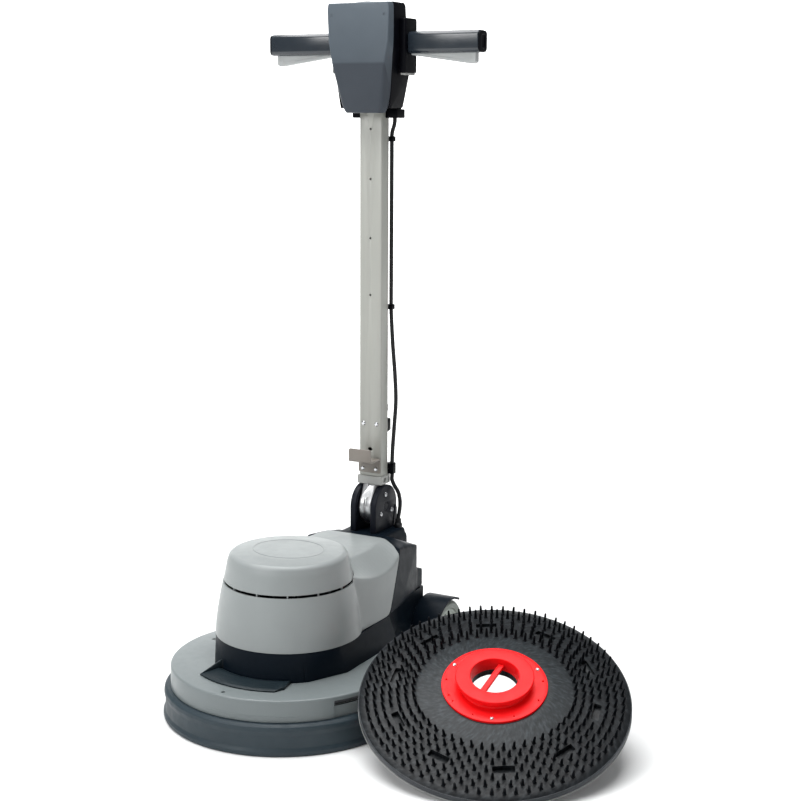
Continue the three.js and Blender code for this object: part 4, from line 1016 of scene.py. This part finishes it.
def nubs():
    """Rows of short tapered pegs, each on a small square foot."""
    verts, faces = [], []
    for row in range(NUB_ROWS):
        r = NUB_FIRST_R + row * (NUB_LAST_R - NUB_FIRST_R) / (NUB_ROWS - 1)
        count = round(360 / (NUBS_APART_FIRST + (NUBS_APART_LAST - NUBS_APART_FIRST) * row / (NUB_ROWS - 1)))
        for index in range(count):
            angle = 2 * pi * (index + 0.5 * (row % 2)) / count + shapes.uniform(-0.004, 0.004)
            x, y = r * cos(angle), r * sin(angle)
            if in_slot(x, y):
                continue
            out = Vector((cos(angle), sin(angle), -0.21)).normalized()
            side = Vector((-sin(angle), cos(angle), 0))
            normal = out.cross(side).normalized()
            base = Vector((x, y, cone(r)))
            lean = out * shapes.uniform(-0.04, 0.04) + side * shapes.uniform(-0.04, 0.04)
            tall = shapes.uniform(16.8, 17.8)
            foot = len(verts)
            for half, height in FOOT_LEVELS:
                verts.extend(base + out * a * half + side * b * half + normal * height
                             for a, b in ((1, 1), (-1, 1), (-1, -1), (1, -1)))
            faces += [*bands(foot, 3, 4), tuple(range(foot, foot + 4)), tuple(range(foot + 8, foot + 12))]
            peg = len(verts)
            rings = ((2.7, 0.9), (2.5, 5.0), (2.2, 11.0), (1.8, tall - 1.2), (1.1, tall - 0.2))
            for radius, height in rings:
                centre = base + normal * height + lean * height
                verts.extend(centre + out * radius * cos(k * pi / 4) + side * radius * sin(k * pi / 4)
                             for k in range(8))
            top = len(verts) - 8
            faces += [*bands(peg, len(rings), 8), tuple(range(peg, peg + 8)), tuple(range(top, top + 8))]
    return from_faces("board_nubs", verts, faces)


board_piece(nubs(), nub_plastic, ["nub_field"], sharp=50)

FLANGE_R, FLANGE_TOP, RING_TOP = 92, BOARD_RISE + 5, BOARD_RISE + 25
flange = lathe("flange_plate", soft([
    (BOARD_HOLE, BOARD_RISE + 0.2), (FLANGE_R, BOARD_RISE + 0.2, 0.3), (FLANGE_R, FLANGE_TOP - 0.6, 1),
    (FLANGE_R - 6, FLANGE_TOP, 1), (BOARD_HOLE, FLANGE_TOP),
], 0.3, 4), 144)
PILOT_ANGLES = (-68, -57, 24, 64, 97, -95, 150, -25, 170)
cut(flange, *[rod("pilot", "z", 2.0, BOARD_RISE + 1, 60, polar(84, a), 20) for a in PILOT_ANGLES])
board_piece(flange, red_plastic, ["board_flange"])
ring = lathe("flange_ring", soft([
    (BOARD_HOLE, FLANGE_TOP + 0.1), (62, FLANGE_TOP + 0.1, 0.3), (60, FLANGE_TOP + 2.5, 2),
    (60, RING_TOP - 8, 2), (68, RING_TOP - 6.5, 0.8), (68, RING_TOP, 1.6), (BOARD_HOLE + 1, RING_TOP, 1.6),
], 0.5, 5), 144)
board_piece(ring, red_plastic, ["board_ring"])
bail = prism("flange_bail", rectangle(-39, 39, -11, -1, 1.2), "z", FLANGE_TOP + 4, FLANGE_TOP + 10)
bail.data.transform(spin(-25))
board_piece(bevel(bail, 0.9), red_plastic, ["board_bail"])
heads = [screw("z", (*polar(84, a), FLANGE_TOP), 3.6, 1.9) for a in (-122, 118, -2)]
board_piece(merge("flange_screws", heads), screw_steel)

# ---- carried-over CAD nodes: their own material and a fine edge ----
CAD_FINISH = {
    "deck_plate": cast_iron, "gearbox_case": cast_iron, "drive_hub": cast_iron, "motor_stator": copper,
    "cooling_fan": black_plastic, "run_capacitor": black_plastic, "switch_module": black_plastic,
    **dict.fromkeys(("motor_rotor", "sun_gear", "planet_carrier", "planet_gear_1", "planet_gear_2",
                     "planet_gear_3", "wheel_axle", "handlebar"), steel),
}
for node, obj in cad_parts.items():
    if obj.hide_render:
        continue
    obj.data.materials.clear()
    obj.data.materials.append(CAD_FINISH[node])
    edge = obj.modifiers.new("edge", "BEVEL")
    edge.width, edge.segments, edge.limit_method = 0.0003, 2, "ANGLE"
    edge.angle_limit = radians(40)

# ---- floor and studio light ----
FLOOR = 12  # metres from the middle to each edge
floor = from_faces("floor", [(-FLOOR, -FLOOR, 0), (FLOOR, -FLOOR, 0), (FLOOR, FLOOR, 0), (-FLOOR, FLOOR, 0)],
                   [(0, 1, 2, 3)])
paper = plastic("floor_paper", "#E6E7E7", 0.8, 0.006, 300, 0.00003, specular=0.1)
tree = paper.node_tree
place = tree.nodes.new("ShaderNodeTexCoord")
reach = tree.nodes.new("ShaderNodeVectorMath")
reach.operation = "LENGTH"
glow = tree.nodes.new("ShaderNodeMapRange")  # the paper glows more with the distance from the machine
for socket, value in (("From Min", 0.7), ("From Max", 3.4), ("To Min", 0.04), ("To Max", 0.75)):
    glow.inputs[socket].default_value = value
tree.links.new(place.outputs["Object"], reach.inputs[0])
tree.links.new(reach.outputs["Value"], glow.inputs["Value"])
tree.links.new(glow.outputs["Result"], tree.nodes["Principled BSDF"].inputs["Emission Strength"])
tree.nodes["Principled BSDF"].inputs["Emission Color"].default_value = (1, 1, 1, 1)
floor.data.materials.append(paper)
HALF_WIDE, HIGH = 3.2, 2.15
wall = from_faces("backdrop", [(-HALF_WIDE, 0, 0), (HALF_WIDE, 0, 0), (HALF_WIDE, 0, HIGH),
(-HALF_WIDE, 0, HIGH)],
                  [(0, 1, 2, 3)])
wall.matrix_world = shift(AXIS.x - 2.6, AXIS.y + 4.8, 0) @ Matrix.Rotation(HEADING, 4, "Z")
wall_paper = plastic("backdrop_paper", "#E8E9E9", 0.9, 0.004, 300, 0.00003, specular=0.0)
wall_shader = wall_paper.node_tree.nodes["Principled BSDF"]
wall_shader.inputs["Emission Color"].default_value = (1, 1, 1, 1)
wall_shader.inputs["Emission Strength"].default_value = 1.0
wall.data.materials.append(wall_paper)

SKY_LIGHT, SKY_SEEN = 0.24, 0.95  # it lights softly, but looks pale behind the floor
world = bpy.data.worlds.new("studio")
scene.world = world
world.use_nodes = True
sky = world.node_tree.nodes["Background"]
sky.inputs["Color"].default_value = (0.97, 0.985, 1.0, 1)
sky.inputs["Strength"].default_value = SKY_LIGHT
paths = world.node_tree.nodes.new("ShaderNodeLightPath")
pale = world.node_tree.nodes.new("ShaderNodeMapRange")
pale.inputs["To Min"].default_value, pale.inputs["To Max"].default_value = SKY_LIGHT, SKY_SEEN
world.node_tree.links.new(paths.outputs["Is Camera Ray"], pale.inputs["Value"])
world.node_tree.links.new(pale.outputs["Result"], sky.inputs["Strength"])


def lamp(name, place, target, size, power, tint=(1, 1, 1)):
    data = bpy.data.lights.new(name, "AREA")
    data.shape, data.size, data.energy, data.color = "SQUARE", size, power, tint
    obj = bpy.data.objects.new(name, data)
    obj.location = place
    obj.rotation_mode = "QUATERNION"
    obj.rotation_quaternion = (Vector(target) - Vector(place)).to_track_quat("-Z", "Y")
    scene.collection.objects.link(obj)


lamp("top", (-0.6, 0.1, 4.2), (0, 0.2, 0), 4.0, 320)
lamp("key", (-1.5, -3.9, 2.6), (0, 0, 0.6), 1.8, 80)
